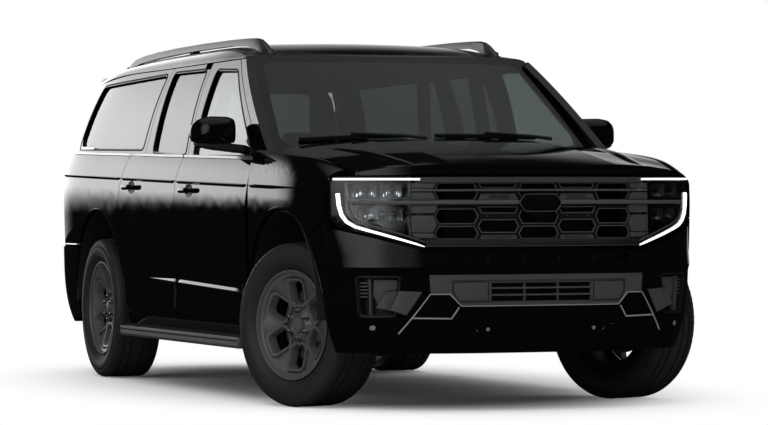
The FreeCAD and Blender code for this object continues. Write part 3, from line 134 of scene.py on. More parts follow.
# Each row: name, base colour, roughness, other sockets, the grain's width, depth and detail, and the two colours
# that the grain runs between, if it does.
surfaces = {
    # Sprayed black lacquer under clear coat: deep, mirror-like, with faint orange peel 8 mm wide.
    "lacquer": ("blackLacquer", "#040405", 0.32, {"Coat Weight": 1.0, "Coat Roughness": 0.02,
                "Specular IOR Level": 0.0}, (0.008, 0.000004, 1)),
    # Moulded PMMA-faced trim, gloss black: the bare badge plate, the tailgate's band and grip.
    "glossTrim": ("glossBlackTrim", "#050505", 0.12, {"Coat Weight": 0.4}, (0.012, 0.000004, 1)),
    # Grained black polypropylene: a dull, fine leather grain about 1 mm wide.
    "grained": ("grainedPolypropylene", "#121213", 0.62, {}, (0.0012, 0.00006), "#0c0c0d", "#19191a"),
    # Satin moulded ABS of the grille, smoother than the bumper's plastic.
    "grille": ("satinAbs", "#0d0d0e", 0.34, {}, (0.003, 0.00001)),
    # Dark grey moulded plastic of the lower face, a dull even grey beside the paint.
    "greyPlastic": ("moldedGreyPlastic", "#303233", 0.5, {}, (0.002, 0.00003), "#2c2d2f", "#353638"),
    # Tinted laminated glass, about 5 mm: grey with a green cast.
    "windscreen": ("tintedGlass", "#a7b3ae", 0.0, {"IOR": 1.5, "Transmission Weight": 1.0}, (0.4, 0.00002, 0)),
    # Privacy glass of the rear windows, dyed dark in the sheet.
    "privacy": ("privacyGlass", "#5b6461", 0.0, {"IOR": 1.5, "Transmission Weight": 1.0}, (0.4, 0.00002, 0)),
    # Clear polycarbonate lamp cover.
    "lens": ("clearPolycarbonate", "#eef2f4", 0.0, {"IOR": 1.58, "Transmission Weight": 1.0}, (0.2, 0.00001, 0)),
    # Red acrylic of the tail lamps.
    "redLens": ("redAcrylic", "#5c0708", 0.06, {"Coat Weight": 1.0}, (0.004, 0.00002)),
    # Painted cast wheel alloy, dark satin grey with a fine metallic fleck.
    "rim": ("satinWheelPaint", "#4a4b4d", 0.36, {"Metallic": 0.35, "Coat Weight": 0.25, "Coat Roughness": 0.2},
            (0.0015, 0.00001), "#454648", "#525355"),
    # Tyre rubber: black, dry, slightly mottled.
    "rubber": ("tyreRubber", "#1d1d1e", 0.55, {}, (0.003, 0.00008), "#151516", "#222223"),
    # Chassis steel dipped in black wax.
    "frameSteel": ("waxedSteel", "#131313", 0.55, {}, (0.01, 0.0002), "#0d0d0d", "#1b1b1a"),
    # Cast iron and aluminium under the car, sand-cast and grey.
    "casting": ("sandCastMetal", "#55534f", 0.6, {"Metallic": 0.7}, (0.004, 0.0003), "#45433f", "#64625d"),
    # Stainless exhaust pipe, dulled by heat.
    "exhaust": ("dullStainless", "#8a857c", 0.38, {"Metallic": 1.0}, (0.02, 0.00005), "#746f67", "#96928a"),
    # Chromed steel of the wheel nuts.
    "chrome": ("chromedSteel", "#d9dadb", 0.08, {"Metallic": 1.0}, (0.01, 0.000005)),
    # Satin anodised aluminium of the belt strip.
    "strip": ("satinAnodised", "#e2e3e4", 0.30, {"Metallic": 1.0}, (0.002, 0.00001)),
    # Woven seat cloth, dark grey, threads about 1.2 mm.
    "seat": ("wovenSeatCloth", "#2b2c2e", 0.85, {"Sheen Weight": 0.3}, (0.0024, 0.0004), "#242527", "#343537"),
    # Black injection-moulded lamp housing, glossy, seen through the cover.
    "lampBlack": ("polishedBlackPolycarbonate", "#060607", 0.16, {"Coat Weight": 0.5}, (0.006, 0.000005, 1)),
    # Vacuum-metallised reflectors and mirror glass: bright, slightly uneven.
    "reflector": ("vacuumMetallised", "#c9ccd0", 0.10, {"Metallic": 0.7}, (0.006, 0.000006)),
    # Cast glass block over the light source.
    "lensBlock": ("castLensGlass", "#20242a", 0.03, {"Coat Weight": 1.0}, (0.006, 0.00002)),
    # Milky light guide lit from behind, an even cool white.
    "lampWhite": ("litLightGuide", "#f4f8ff", 0.25, {"Emission Strength": 1.15,
                  "Emission Color": hexColour("#f3f7ff")}, (0.004, 0.00001)),
    # Satin moulded edges in a paler grey; on the grille's cell rims and its sill line the paleness is painted
    # highlight.
    "satinEdge": ("satinEdgeAndPaintedHighlight", "#353638", 0.36, {"Coat Weight": 0.2},
                  (0.004, 0.00001), "#313234", "#3a3b3d"),
    # Mid grey satin paint on the grille's cross bars, the intake's bars and the running boards.
    "barGrey": ("satinBarPaint", "#37383a", 0.38, {"Coat Weight": 0.2}, (0.004, 0.00001), "#333436", "#3c3d3f"),
    # Dark matte band over the grille.
    "bandGrey": ("mattBandPaint", "#292a2b", 0.5, {}, (0.003, 0.00001), "#262728", "#2d2e2f"),
    # Flat grey blanking plates, moulded with a fine matt texture.
    "blankGrey": ("mattBlankingPlate", "#303133", 0.48, {}, (0.002, 0.00002), "#2c2d2f", "#353638"),
    # Black satin plastic of pockets and wipers; on the wheel barrels the same black is painted shade, the shade deep
    # inside the wheel.
    "satinBlack": ("satinBlackPlasticAndBarrelShade", "#0e0e0f", 0.4, {}, (0.003, 0.00002), "#0b0b0c", "#121213"),
    # Dark plated edge of the skid outline: smoky chrome.
    "darkChrome": ("smokedChrome", "#818386", 0.3, {"Metallic": 0.35}, (0.006, 0.000008)),
    # Painted face of the parking sensors.
    "sensorGrey": ("sensorPaint", "#5a5b5d", 0.45, {}, (0.003, 0.00001)),
    # Black EPDM seal round the windows, dull and soft.
    "seal": ("windowSealRubber", "#0c0c0d", 0.6, {}, (0.002, 0.00003), "#09090a", "#101011"),
    # Satin powder coat on the roof rails.
    "railSatin": ("satinPowderCoat", "#202122", 0.34, {"Coat Weight": 0.3, "Coat Roughness": 0.25},
                  (0.0015, 0.00002), "#1c1d1e", "#252627"),
}

materials = {}
for key, (name, code, roughness, sockets, grain, *tones) in surfaces.items():
    materials[key], tree, shader = newSurface(name, code, roughness, sockets)
    noise = addGrain(tree, shader, *grain)
    if tones:
        varyColour(tree, shader, noise, *tones)
print("materials made:", len(materials))


# What each CAD node is finished in.
nodeFinish = {
    "lacquer": ["body_sides", "front_wings", "rear_bumper", "roof_panel", "windscreen_frame", "front_bumper",
                "hood", "tailgate", "front_door_left", "front_door_right", "rear_door_left",
                "rear_door_right", "mirror_left", "mirror_right"],
    "windscreen": ["windscreen", "front_door_glass_left", "front_door_glass_right"],
    "privacy": ["rear_door_glass_left", "rear_door_glass_right", "quarter_glass", "tailgate_glass"],
    "lens": ["headlamps"],
    "redLens": ["tail_lamps"],
    "grained": ["cowl_and_firewall", "wheel_liners", "roof_rails", "dashboard"],
    "grille": ["grille"],
    "greyPlastic": ["lower_grille"],
    "barGrey": ["running_boards"],
    "frameSteel": ["chassis_frame", "body_frame", "floor_pan", "front_suspension", "rear_suspension",
                   "fuel_tank", "hitch_receiver", "radiator"],
    "casting": ["engine_block", "gearbox", "knuckle_left", "knuckle_right"],
    "exhaust": ["exhaust"],
    "rim": ["rim_front_left", "rim_front_right", "rim_rear_left", "rim_rear_right"],
    "rubber": ["tyre_front_left", "tyre_front_right", "tyre_rear_left", "tyre_rear_right", "spare_wheel"],
    "seat": ["seats"],
}
for finish, names in nodeFinish.items():
    for name in names:
        nodes[name].data.materials.clear()
        nodes[name].data.materials.append(materials[finish])
print("CAD nodes finished")


# Shape helpers.
def newPiece(name, vertices, faces, finish, body, slot=None, smoothBelow=35):
    mesh = bpy.data.meshes.new(name)
    mesh.from_pydata([tuple(v) for v in vertices], [], faces)
    form = bmesh.new()
    form.from_mesh(mesh)
    bmesh.ops.remove_doubles(form, verts=form.verts, dist=0.00001)
    bmesh.ops.recalc_face_normals(form, faces=form.faces)
    form.to_mesh(mesh)
    form.free()
    return finishPiece(name, mesh, finish, body, smoothBelow)


def finishPiece(name, mesh, finish, body, smoothBelow=35):
    mesh.materials.clear()
    mesh.materials.append(materials[finish])
    piece = linked(name, mesh)
    mesh.shade_smooth()
    mesh.set_sharp_from_angle(angle=math.radians(smoothBelow))
    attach(piece, body)
    return piece


def linked(name, data):
    thing = bpy.data.objects.new(name, data)
    bpy.context.scene.collection.objects.link(thing)
    return thing


def bridge(rows, closed=True):
    # Faces between successive rows of equally many points.
    count = len(rows[0])
    steps = count if closed else count - 1
    points = [point for row in rows for point in row]
    faces = []
    for r in range(len(rows) - 1):
        for i in range(steps):
            j = (i + 1) % count
            faces.append((r * count + i, r * count + j, (r + 1) * count + j, (r + 1) * count + i))
    return points, faces


def joinParts(parts):
    points, faces = [], []
    for partPoints, partFaces in parts:
        start = len(points)
        points += partPoints
        faces += [tuple(start + i for i in face) for face in partFaces]
    return points, faces


def around(count):
    # Angles round a full turn.
    return [2 * math.pi * i / count for i in range(count)]


def lastRow(points, count):
    # The face that closes a bridge at its last row.
    return tuple(len(points) - count + i for i in reversed(range(count)))


def capped(rows):
    # A bridge closed at both ends.
    points, faces = bridge(rows)
    count = len(rows[0])
    return points, faces + [tuple(range(count)), lastRow(points, count)]


def turnProfile(profile, segments):
    # A closed (x, radius) outline turned about the x axis.
    return bridge([[(x, r * math.cos(a), r * math.sin(a)) for a in around(segments)]
                   for x, r in profile + profile[:1]])


def moved(matrix, part):
    return [matrix @ Vector(p) for p in part[0]], part[1]


def boxRing(x0, x1, z0, z1):
    return [(x0, z0), (x1, z0), (x1, z1), (x0, z1)]


def wholeRing(half):
    # A ring from its right half, which starts at the corner next to the middle of one side.
    return [(-half[0][0], half[0][1])] + half + [(-x, z) for x, z in reversed(half[1:])]


def takenFrom(form):
    # The points and faces of a bmesh that isn't needed any more.
    form.verts.index_update()
    part = [v.co.copy() for v in form.verts], [tuple(v.index for v in f.verts) for f in form.faces]
    form.free()
    return part


def softBlock(size, place, bevel):
    # A bevelled block as points and faces.
    form = bmesh.new()
    bmesh.ops.create_cube(form, size=1)
    bmesh.ops.scale(form, vec=size, verts=form.verts)
    bmesh.ops.bevel(form, geom=form.edges[:], offset=bevel, segments=2, affect="EDGES", profile=0.5)
    bmesh.ops.translate(form, vec=place, verts=form.verts)
    return takenFrom(form)


# One node tree repeats a small shape in a row, a ring or both.
def repeatTree():
    tree = bpy.data.node_groups.new("repeatShape", "GeometryNodeTree")
    kinds = [("Shape", "NodeSocketGeometry"), ("Count", "NodeSocketInt"), ("Offset", "NodeSocketVector"),
             ("Turn", "NodeSocketFloat"), ("Finish", "NodeSocketMaterial")]
    sockets = {name: tree.interface.new_socket(name, in_out="INPUT", socket_type=kind) for name, kind in kinds}
    tree.interface.new_socket("Row", in_out="OUTPUT", socket_type="NodeSocketGeometry")
    given = addNode(tree, "NodeGroupInput").outputs
    line = addNode(tree, "GeometryNodeMeshLine", {"Count": given["Count"], "Offset": given["Offset"]},
                   mode="OFFSET")
    index = addNode(tree, "GeometryNodeInputIndex")
    angle = addNode(tree, "ShaderNodeMath", {0: index.outputs[0], 1: given["Turn"]}, operation="MULTIPLY")
    turned = addNode(tree, "ShaderNodeCombineXYZ", {"X": angle.outputs[0]})
    copies = addNode(tree, "GeometryNodeInstanceOnPoints", {"Points": line.outputs[0], "Instance": given["Shape"],
                                                            "Rotation": turned.outputs[0]})
    real = addNode(tree, "GeometryNodeRealizeInstances", {0: copies.outputs[0]})
    done = addNode(tree, "GeometryNodeSetMaterial", {"Geometry": real.outputs[0], "Material": given["Finish"]})
    addNode(tree, "NodeGroupOutput", {"Row": done.outputs[0]})
    return tree, {name: socket.identifier for name, socket in sockets.items()}


rowTree, rowInputs = repeatTree()


def repeated(part, finish, count, offset=(0, 0, 0), turn=0.0):
    # The small shape repeated, as points and faces.
    mesh = bpy.data.meshes.new("seed")
    mesh.from_pydata([tuple(v) for v in part[0]], [], part[1])
    seed = linked("seed", mesh)
    modifier = seed.modifiers.new("repeat", "NODES")
    modifier.node_group = rowTree
    modifier[rowInputs["Count"]] = count
    modifier[rowInputs["Offset"]] = offset
    modifier[rowInputs["Turn"]] = turn
    modifier[rowInputs["Finish"]] = materials[finish]
    graph = bpy.context.evaluated_depsgraph_get()
    made = bpy.data.meshes.new_from_object(seed.evaluated_get(graph))
    seed.modifiers.clear()
    result = [v.co.copy() for v in made.vertices], [tuple(p.vertices) for p in made.polygons]
    bpy.data.objects.remove(seed)
    bpy.data.meshes.remove(made)
    return result


# Wheels: six hexagonal cells in a dished face, modelled about the hub with the outside towards +x.
wheel = {"radius": 0.2715, "cells": 6, "groove": 0.016, "windowDepth": 0.044, "nutCircle": 0.0675, "steer": 20.5,
         "kingpin": 0.794, "track": 0.860, "frontAxle": -1.850, "rearAxle": 1.493, "axleHeight": 0.405, "phase": 30,
         "ground": (0.240, 72), "hub": (0.052, 36),
         "height": [(0.0, 0.070), (0.05, 0.070), (0.085, 0.066), (0.14, 0.072), (0.19, 0.084), (0.238, 0.100),
                    (0.3, 0.110)]}


def between(table, place):
    for (a, va), (b, vb) in zip(table, table[1:]):
        if place <= b:
            return va + (vb - va) * (place - a) / (b - a)
    return table[-1][1]


def cellLoop(widen, outer, inner, sink):
    # One hexagonal loop about the +y axis: widen and the ends shrink it, sink moves it in.
    half = 0.068 - widen
    corners = [(0.231 - outer, 0.050 - widen), (0.210 - outer * 0.6, half), (0.112 + inner * 0.4, half),
               (0.084 + inner, 0.042 - widen * 0.9)]
    loop = [(r, t) for r, t in corners] + [(r, -t) for r, t in reversed(corners)]
    return [(between(wheel["height"], math.hypot(r, t)) - sink, r, t) for r, t in loop]


def wheelFace(w):
    loops = [cellLoop(0.0, 0.0, 0.0, w["groove"]), cellLoop(0.002, 0.002, 0.002, 0.0),
             cellLoop(0.014, 0.012, 0.012, 0.0), cellLoop(0.018, 0.016, 0.018, 0.008),
             cellLoop(0.021, 0.019, 0.023, w["windowDepth"])]
    cell = bridge(loops)
    turns = [Matrix.Rotation(a + math.radians(w["phase"]), 3, "X") for a in around(w["cells"])]
    parts = [moved(turn, cell) for turn in turns]
    # The ground between the cells, filled flat and then dished.
    form = bmesh.new()
    rings = [[turn @ Vector((0, p[1], p[2])) for p in loops[0]] for turn in turns]
    for radius, count in (w["ground"], w["hub"]):
        rings.append([Vector((0, radius * math.cos(a), radius * math.sin(a))) for a in around(count)])
    edges = []
    for ring in rings:
        corners = [form.verts.new(p) for p in ring]
        edges += [form.edges.new((corners[i - 1], corners[i])) for i in range(len(corners))]
    bmesh.ops.triangle_fill(form, edges=edges, use_beauty=True, normal=(1, 0, 0))
    flat, faces = takenFrom(form)
    ground = []
    for v in flat:
        r = math.hypot(v.y, v.z)
        sink = w["groove"] if w["hub"][0] + 0.001 < r < w["ground"][0] - 0.001 else 0
        ground.append((between(w["height"], r) - sink, v.y, v.z))
    parts.append((ground, faces))
    hub = [(0.070, 0.052), (0.066, 0.047), (0.066, 0.040), (0.080, 0.034), (0.083, 0.026), (0.083, 0.0)]
    parts.append(bridge([[(x, r * math.cos(a), r * math.sin(a)) for a in around(w["hub"][1])] for x, r in hub]))
    return joinParts(parts)


def rimLip(w):
    outline = [(0.118, w["radius"]), (0.118, 0.2635), (0.112, 0.2585), (0.106, 0.2575), (0.104, 0.247), (0.100, 0.240),
               (0.092, 0.2385), (0.092, 0.2562), (0.098, 0.2562), (0.110, w["radius"])]
    return turnProfile(outline, 96)


def wheelBarrel(w):
    outline = [(0.092, 0.2385), (0.070, 0.2375), (0.030, 0.231), (-0.098, 0.231), (-0.107, 0.250), (-0.118, 0.2615),
               (-0.118, w["radius"]), (-0.110, w["radius"]), (-0.098, 0.2562), (0.092, 0.2562)]
    return turnProfile(outline, 96)


def brakeDisc():
    outline = [(0.012, 0.172), (-0.014, 0.172), (-0.014, 0.100), (0.040, 0.088), (0.044, 0.050), (0.038, 0.050),
               (0.034, 0.082), (0.010, 0.094)]
    return turnProfile(outline, 72)


def wheelNut(w):
    rows = []
    for x, r in ((0.062, 0.0135), (0.066, 0.0135), (0.068, 0.0105), (0.084, 0.0100), (0.088, 0.0065), (0.089, 0.0)):
        rows.append([(x, w["nutCircle"] + r * math.cos(a), r * math.sin(a)) for a in around(6)])
    return bridge(rows)


def placeWheel(part, corner, w):
    side = 1 if corner.endswith("left") else -1
    front = corner.startswith("front")
    move = Matrix.Translation((side * w["track"], w["frontAxle"] if front else w["rearAxle"], w["axleHeight"]))
    move = move @ Matrix.Rotation(0 if side > 0 else math.pi, 4, "Z")
    if front:
        pin = Matrix.Translation((side * w["kingpin"], w["frontAxle"], 0))
        move = pin @ Matrix.Rotation(math.radians(w["steer"]), 4, "Z") @ pin.inverted() @ move
    return moved(move, part)


# Tyres: rounded carcass with four grooves, ribbed side walls and shoulder lugs.
tyre = {"crown": 0.405, "groove": 0.008, "lugs": 78, "lugShare": 0.80, "ridges": 156, "ridgeWidth": 0.0035}


def tyreBody(t):
    outer = [(0.0975, 0.2566), (0.106, 0.2722), (0.113, 0.2790), (0.127, 0.296), (0.1335, 0.306), (0.1325, 0.308),
             (0.1365, 0.318), (0.1372, 0.320), (0.139, 0.332), (0.1395, 0.345), (0.137, 0.362), (0.1355, 0.364),
             (0.1355, 0.368), (0.131, 0.382), (0.124, 0.393), (0.112, 0.3995), (0.100, 0.4025)]
    tread = []
    for x, rise in ((0.078, 0.4035), (0.036, 0.4048)):
        tread += [(x + 0.0065, rise), (x + 0.005, rise - t["groove"]), (x - 0.005, rise - t["groove"]),
                  (x - 0.0065, rise)]
    half = outer + tread
    inner = [(0.098, 0.383), (0.122, 0.353), (0.124, 0.322), (0.097, 0.278), (0.085, 0.2566)]
    outline = half + [(-x, r) for x, r in reversed(half)] + [(-x, r) for x, r in reversed(inner)] + inner
    return turnProfile(outline, 128)


def shoulderLug(t):
    # One block of the shoulder, whose gaps make the tread's toothed edge.
    width = 2 * math.pi * t["crown"] / t["lugs"] * t["lugShare"]
    rows = [[(x, -width / 2, r), (x, width / 2, r)]
            for x, r in ((0.096, 0.4045), (0.112, 0.4015), (0.124, 0.3955), (0.132, 0.3845), (0.1345, 0.376),
                         (0.1345, 0.370), (0.118, 0.385), (0.096, 0.395))]
    points, faces = bridge(rows + rows[:1], closed=False)
    count = len(rows)
    faces.append(tuple(2 * i for i in range(count)))
    faces.append(tuple(2 * i + 1 for i in reversed(range(count))))
    return points, faces


def sidewallRidge(t):
    # A thin raised ridge on the side wall's outer band.
    half = t["ridgeWidth"] / 2
    return bridge([[(x, -half, r), (x + 0.0012, 0, r), (x, half, r)]
                   for x, r in ((0.1378, 0.345), (0.1385, 0.356), (0.1355, 0.366))], closed=False)


faceMesh = joinParts([wheelFace(wheel), rimLip(wheel)])
nutRing = repeated(wheelNut(wheel), "chrome", wheel["cells"], turn=2 * math.pi / wheel["cells"])
nutRing = moved(Matrix.Rotation(math.radians(wheel["phase"]), 3, "X"), nutRing)
lugRight = repeated(shoulderLug(tyre), "rubber", tyre["lugs"], turn=2 * math.pi / tyre["lugs"])
lugLeft = ([Vector((-p.x, p.y, p.z)) for p in lugRight[0]], [tuple(reversed(f)) for f in lugRight[1]])
ridges = repeated(sidewallRidge(tyre), "rubber", tyre["ridges"], turn=2 * math.pi / tyre["ridges"])
tyreMesh = joinParts([tyreBody(tyre), lugRight, lugLeft, ridges])
wheelPieces = [("wheelFace_{}", faceMesh, "rim", "rim_alloy", 28),
               # The alloy barrel is finished black as painted shade: it reads dark through the wheel's windows.
               ("wheelBarrel_{}", wheelBarrel(wheel), "satinBlack", "rim_alloy", 35),
               ("brakeDisc_{}", brakeDisc(), "casting", "cast_metal", 35),
               ("wheelNuts_{}", nutRing, "chrome", "rim_alloy", 35),
               ("tyre_{}_tread", tyreMesh, "rubber", "tyre", 30)]
for corner in ("front_left", "front_right", "rear_left", "rear_right"):
    for name, part, finish, slot, smoothBelow in wheelPieces:
        piece = newPiece(name.format(corner), *placeWheel(part, corner, wheel), finish, "wheel_" + corner, slot,
                         smoothBelow)
        if part is faceMesh:
            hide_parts("rim_" + corner)
        if part is tyreMesh:
            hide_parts("tyre_" + corner)
print("wheels built")


# Front face. One curve in plan and one in side view say where the nose stands, as in the CAD model.
nose = {"front": -2.818, "crossing": 0.776,
        "planX": [0, 0.260, 0.420, 0.570, 0.700, 0.800, 0.880, 0.935, 0.965, 0.985],
        "planLow": [0, 0.006, 0.024, 0.068, 0.128, 0.182, 0.260, 0.338, 0.412, 0.570],
        "planHigh": [0, 0.012, 0.040, 0.092, 0.152, 0.218, 0.286, 0.338, 0.392, 0.520],
        "face": [(0.270, 0.058), (0.360, 0.032), (0.460, 0.016), (0.600, 0.013), (0.668, 0.013), (0.696, 0),
                 (0.772, 0.016), (0.780, 0.033), (0.950, 0.033), (1.100, 0.040), (1.200, 0.062)],
        "spread": [(0.285, 0.9293), (0.330, 0.9427), (0.406, 0.9654), (0.566, 0.986), (0.736, 0.9953),
                   (0.900, 1.0), (1.000, 1.0021), (1.300, 1.0021)]}


def curveBetween(xs, values, place):
    # A smooth curve through the stations.
    last = len(xs) - 1
    slopes = []
    for i in range(last + 1):
        a, b = max(i - 1, 0), min(i + 1, last)
        slopes.append((values[b] - values[a]) / (xs[b] - xs[a]))
    slopes[0] = 0
    i = 0
    while i < last - 1 and place > xs[i + 1]:
        i += 1
    step = xs[i + 1] - xs[i]
    t = (place - xs[i]) / step
    return (values[i] * (1 + 2 * t) * (1 - t) ** 2 + values[i + 1] * t * t * (3 - 2 * t)
            + step * slopes[i] * t * (1 - t) ** 2 - step * slopes[i + 1] * t * t * (1 - t))


def noseBack(x, z):
    n = nose
    plan = n["planLow"] if z < n["crossing"] else n["planHigh"]
    return n["front"] + between(n["face"], z) + curveBetween(n["planX"], plan, abs(x) / between(n["spread"], z))


def nosePoint(x, z, proud=0.0):
    # The point of the nose at x and z, moved out along its plan normal.
    slope = (noseBack(x + 0.002, z) - noseBack(x - 0.002, z)) / 0.004
    out = Vector((slope, -1, 0)).normalized()
    return Vector((x, noseBack(x, z), z)) + out * proud


def mirrorRing(ring):
    return [(-x, z) for x, z in reversed(ring)]


def plate(outline, holes, proud, depth, step=0.03, bevel=0.0, place=nosePoint):
    # A plate with holes, laid on the nose: proud is its face, and its back lies depth behind that.
    form = bmesh.new()
    edges = []
    for ring in [outline] + holes:
        corners = [form.verts.new((x, 0, z)) for x, z in ring]
        edges += [form.edges.new((corners[i - 1], corners[i])) for i in range(len(corners))]
    bmesh.ops.triangle_fill(form, edges=edges, use_beauty=True, normal=(0, -1, 0))
    low, high = min(x for x, z in outline), max(x for x, z in outline)
    cut = math.ceil(low / step) * step
    while cut < high:
        everything = form.verts[:] + form.edges[:] + form.faces[:]
        bmesh.ops.bisect_plane(form, geom=everything, plane_co=(cut, 0, 0), plane_no=(1, 0, 0), dist=0.0002)
        cut += step
    form.verts.index_update()
    flat = [(v.co.x, v.co.z) for v in form.verts]
    cells = [[v.index for v in f.verts] for f in form.faces]
    border = [(e.verts[0].index, e.verts[1].index) for e in form.edges if len(e.link_faces) == 1]
    form.free()
    count = len(flat)
    points = [place(x, z, proud) for x, z in flat] + [place(x, z, proud - depth) for x, z in flat]
    faces = []
    for cell in cells:
        faces += [tuple(cell), tuple(i + count for i in reversed(cell))]
    faces += [(a, b, b + count, a + count) for a, b in border]
    return soften(points, faces, border, bevel) if bevel else (points, faces)


def soften(points, faces, border, bevel):
    # The face's own edges get a small round.
    form = bmesh.new()
    corners = [form.verts.new(p) for p in points]
    for face in faces:
        form.faces.new([corners[i] for i in face])
    bmesh.ops.recalc_face_normals(form, faces=form.faces[:])
    edges = [form.edges.get((corners[a], corners[b])) for a, b in border]
    bmesh.ops.bevel(form, geom=[e for e in edges if e], offset=bevel, segments=2, affect="EDGES", profile=0.5)
    return takenFrom(form)


def noseBar(section, xs, place=nosePoint):
    # A closed section of (z, proud) corners carried along the nose.
    return capped([[place(x, z, proud) for z, proud in section] for x in xs])


def span(low, high, step=0.03):
    count = max(2, int(round((high - low) / step)))
    return [low + (high - low) * i / count for i in range(count + 1)]


def strip(path, width, height, sink=0.003, place=nosePoint, closed=False, fine=0.02):
    # A thin raised strip along (x, z) corners; width may be one figure or one for each corner.
    widths = width if isinstance(width, list) else [width] * len(path)
    corners = list(zip(path, widths))
    if closed:
        corners.append(corners[0])
    dots = []
    for ((x1, z1), w1), ((x2, z2), w2) in zip(corners, corners[1:]):
        pieces = max(1, int(round(math.hypot(x2 - x1, z2 - z1) / fine)))
        dots += [(x1 + (x2 - x1) * i / pieces, z1 + (z2 - z1) * i / pieces, w1 + (w2 - w1) * i / pieces)
                 for i in range(pieces)]
    if not closed:
        dots.append((*corners[-1][0], corners[-1][1]))
    rows = []
    last = len(dots) - 1
    for i, (x, z, w) in enumerate(dots):
        a = dots[i - 1] if closed or i > 0 else dots[i]
        b = dots[(i + 1) % len(dots)] if closed or i < last else dots[i]
        along = (place(b[0], b[1], 0) - place(a[0], a[1], 0)).normalized()
        out = (place(x, z, 0.01) - place(x, z, 0)).normalized()
        across = along.cross(out)
        here = place(x, z, 0)
        soft = min(height, w / 2) * 0.5
        section = [(-w / 2, -sink), (-w / 2, height - soft), (-w / 2 + soft, height), (w / 2 - soft, height),
                   (w / 2, height - soft), (w / 2, -sink)]
        rows.append([here + across * s + out * h for s, h in section])
    return bridge(rows + rows[:1]) if closed else capped(rows)


def roundedRing(corners, radius, steps=4):
    # An outline with its corners rounded.
    ring = []
    count = len(corners)
    for i in range(count):
        here = Vector((corners[i][0], corners[i][1]))
        before = Vector(corners[i - 1][:2]) - here
        after = Vector(corners[(i + 1) % count][:2]) - here
        r = min(radius, before.length * 0.45, after.length * 0.45)
        start, end = here + before.normalized() * r, here + after.normalized() * r
        for k in range(steps + 1):
            t = k / steps
            point = start * (1 - t) ** 2 + here * 2 * t * (1 - t) + end * t * t
            ring.append((point.x, point.y))
    return ring


def grownRing(ring, amount):
    # The outline moved outwards (or inwards where amount is below zero) by amount.
    count = len(ring)
    area = sum(ring[i - 1][0] * ring[i][1] - ring[i][0] * ring[i - 1][1] for i in range(count))
    turn = 1 if area > 0 else -1
    grown = []
    for i in range(count):
        here = Vector(ring[i])
        a = (here - Vector(ring[i - 1])).normalized()
        b = (Vector(ring[(i + 1) % count]) - here).normalized()
        na, nb = Vector((a.y, -a.x)) * turn, Vector((b.y, -b.x)) * turn
        middle = (na + nb)
        middle = middle / max(middle.length_squared, 0.2) * 2
        point = here + middle * amount
        grown.append((point.x, point.y))
    return grown


def ringWall(ring, steps):
    # A closed wall round a ring, from steps of proud and growth.
    rows = [[nosePoint(x, z, proud) for x, z in grownRing(ring, growth)] for proud, growth in steps]
    return bridge(rows + rows[:1])


def clipRing(ring, low, high):
    # The part of an outline between two heights.
    for level, keep in ((low, 1), (high, -1)):
        kept = []
        for i in range(len(ring)):
            (x1, z1), (x2, z2) = ring[i - 1], ring[i]
            in1, in2 = (z1 - level) * keep >= 0, (z2 - level) * keep >= 0
            if in1 != in2:
                t = (level - z1) / (z2 - z1)
                kept.append((x1 + (x2 - x1) * t, level))
            if in2:
                kept.append((x2, z2))
        ring = kept
        if not ring:
            return ring
    return ring


def bothSides(build):
    return joinParts([build(1), build(-1)])


def sided(ring, side):
    return ring if side > 0 else mirrorRing(ring)


# Headlamps: dark housing, two modules each side, a white bar above and a white hook round the outside.
lamp = {"outline": [(0.5570, 0.7875), (0.5570, 0.8130), (0.6180, 0.8340), (0.6180, 1.1270), (0.9300, 1.1270),
                    (0.9480, 1.1120), (0.9500, 1.0700), (0.9500, 0.9350), (0.9330, 0.9050), (0.9150, 0.8860),
                    (0.8700, 0.8690), (0.6000, 0.7885)],
        "upper": [(0.872, 1.094), (0.652, 1.094), (0.630, 1.0600), (0.652, 1.0230), (0.872, 1.0230)],
        "lower": [(0.858, 0.9800), (0.652, 0.9800), (0.630, 0.9460), (0.652, 0.9100), (0.806, 0.9100),
                  (0.850, 0.9400)],
        "barPath": [(0.930, 1.1165), (0.577, 1.1135)], "barWidth": 0.0093,
        "hookPath": [(0.9160, 1.0480), (0.9120, 0.9900), (0.9020, 0.9450), (0.8820, 0.9120), (0.8500, 0.8890),
                     (0.8000, 0.8710), (0.7000, 0.8390), (0.6000, 0.8070), (0.5600, 0.7930)],
        "hookWidth": [0.0186, 0.0180, 0.0167, 0.0149, 0.0130, 0.0121, 0.0109, 0.0087, 0.0031],
        "lipPath": [(0.8760, 1.0120), (0.8720, 0.9750), (0.8600, 0.9420), (0.8340, 0.9160), (0.7800, 0.8930),
                    (0.6800, 0.8590), (0.5900, 0.8270), (0.5590, 0.8150)],
        "bowls": ((0.660, 0.752, 1.030, 1.087, 9), (0.768, 0.862, 1.030, 1.087, 9), (0.658, 0.736, 0.918, 0.972, 5),
                  (0.760, 0.838, 0.924, 0.972, 5)),
        "blocks": ((0.706, 1.058, 0.013), (0.815, 1.058, 0.017), (0.697, 0.944, 0.015), (0.748, 0.944, 0.019)),
        "cover": [(0.620, 1.104), (0.890, 1.104), (0.890, 0.960), (0.868, 0.922), (0.830, 0.900), (0.620, 0.832)],
        "sunk": 0.007, "pocketDepth": 0.052, "blockDepth": 0.036}


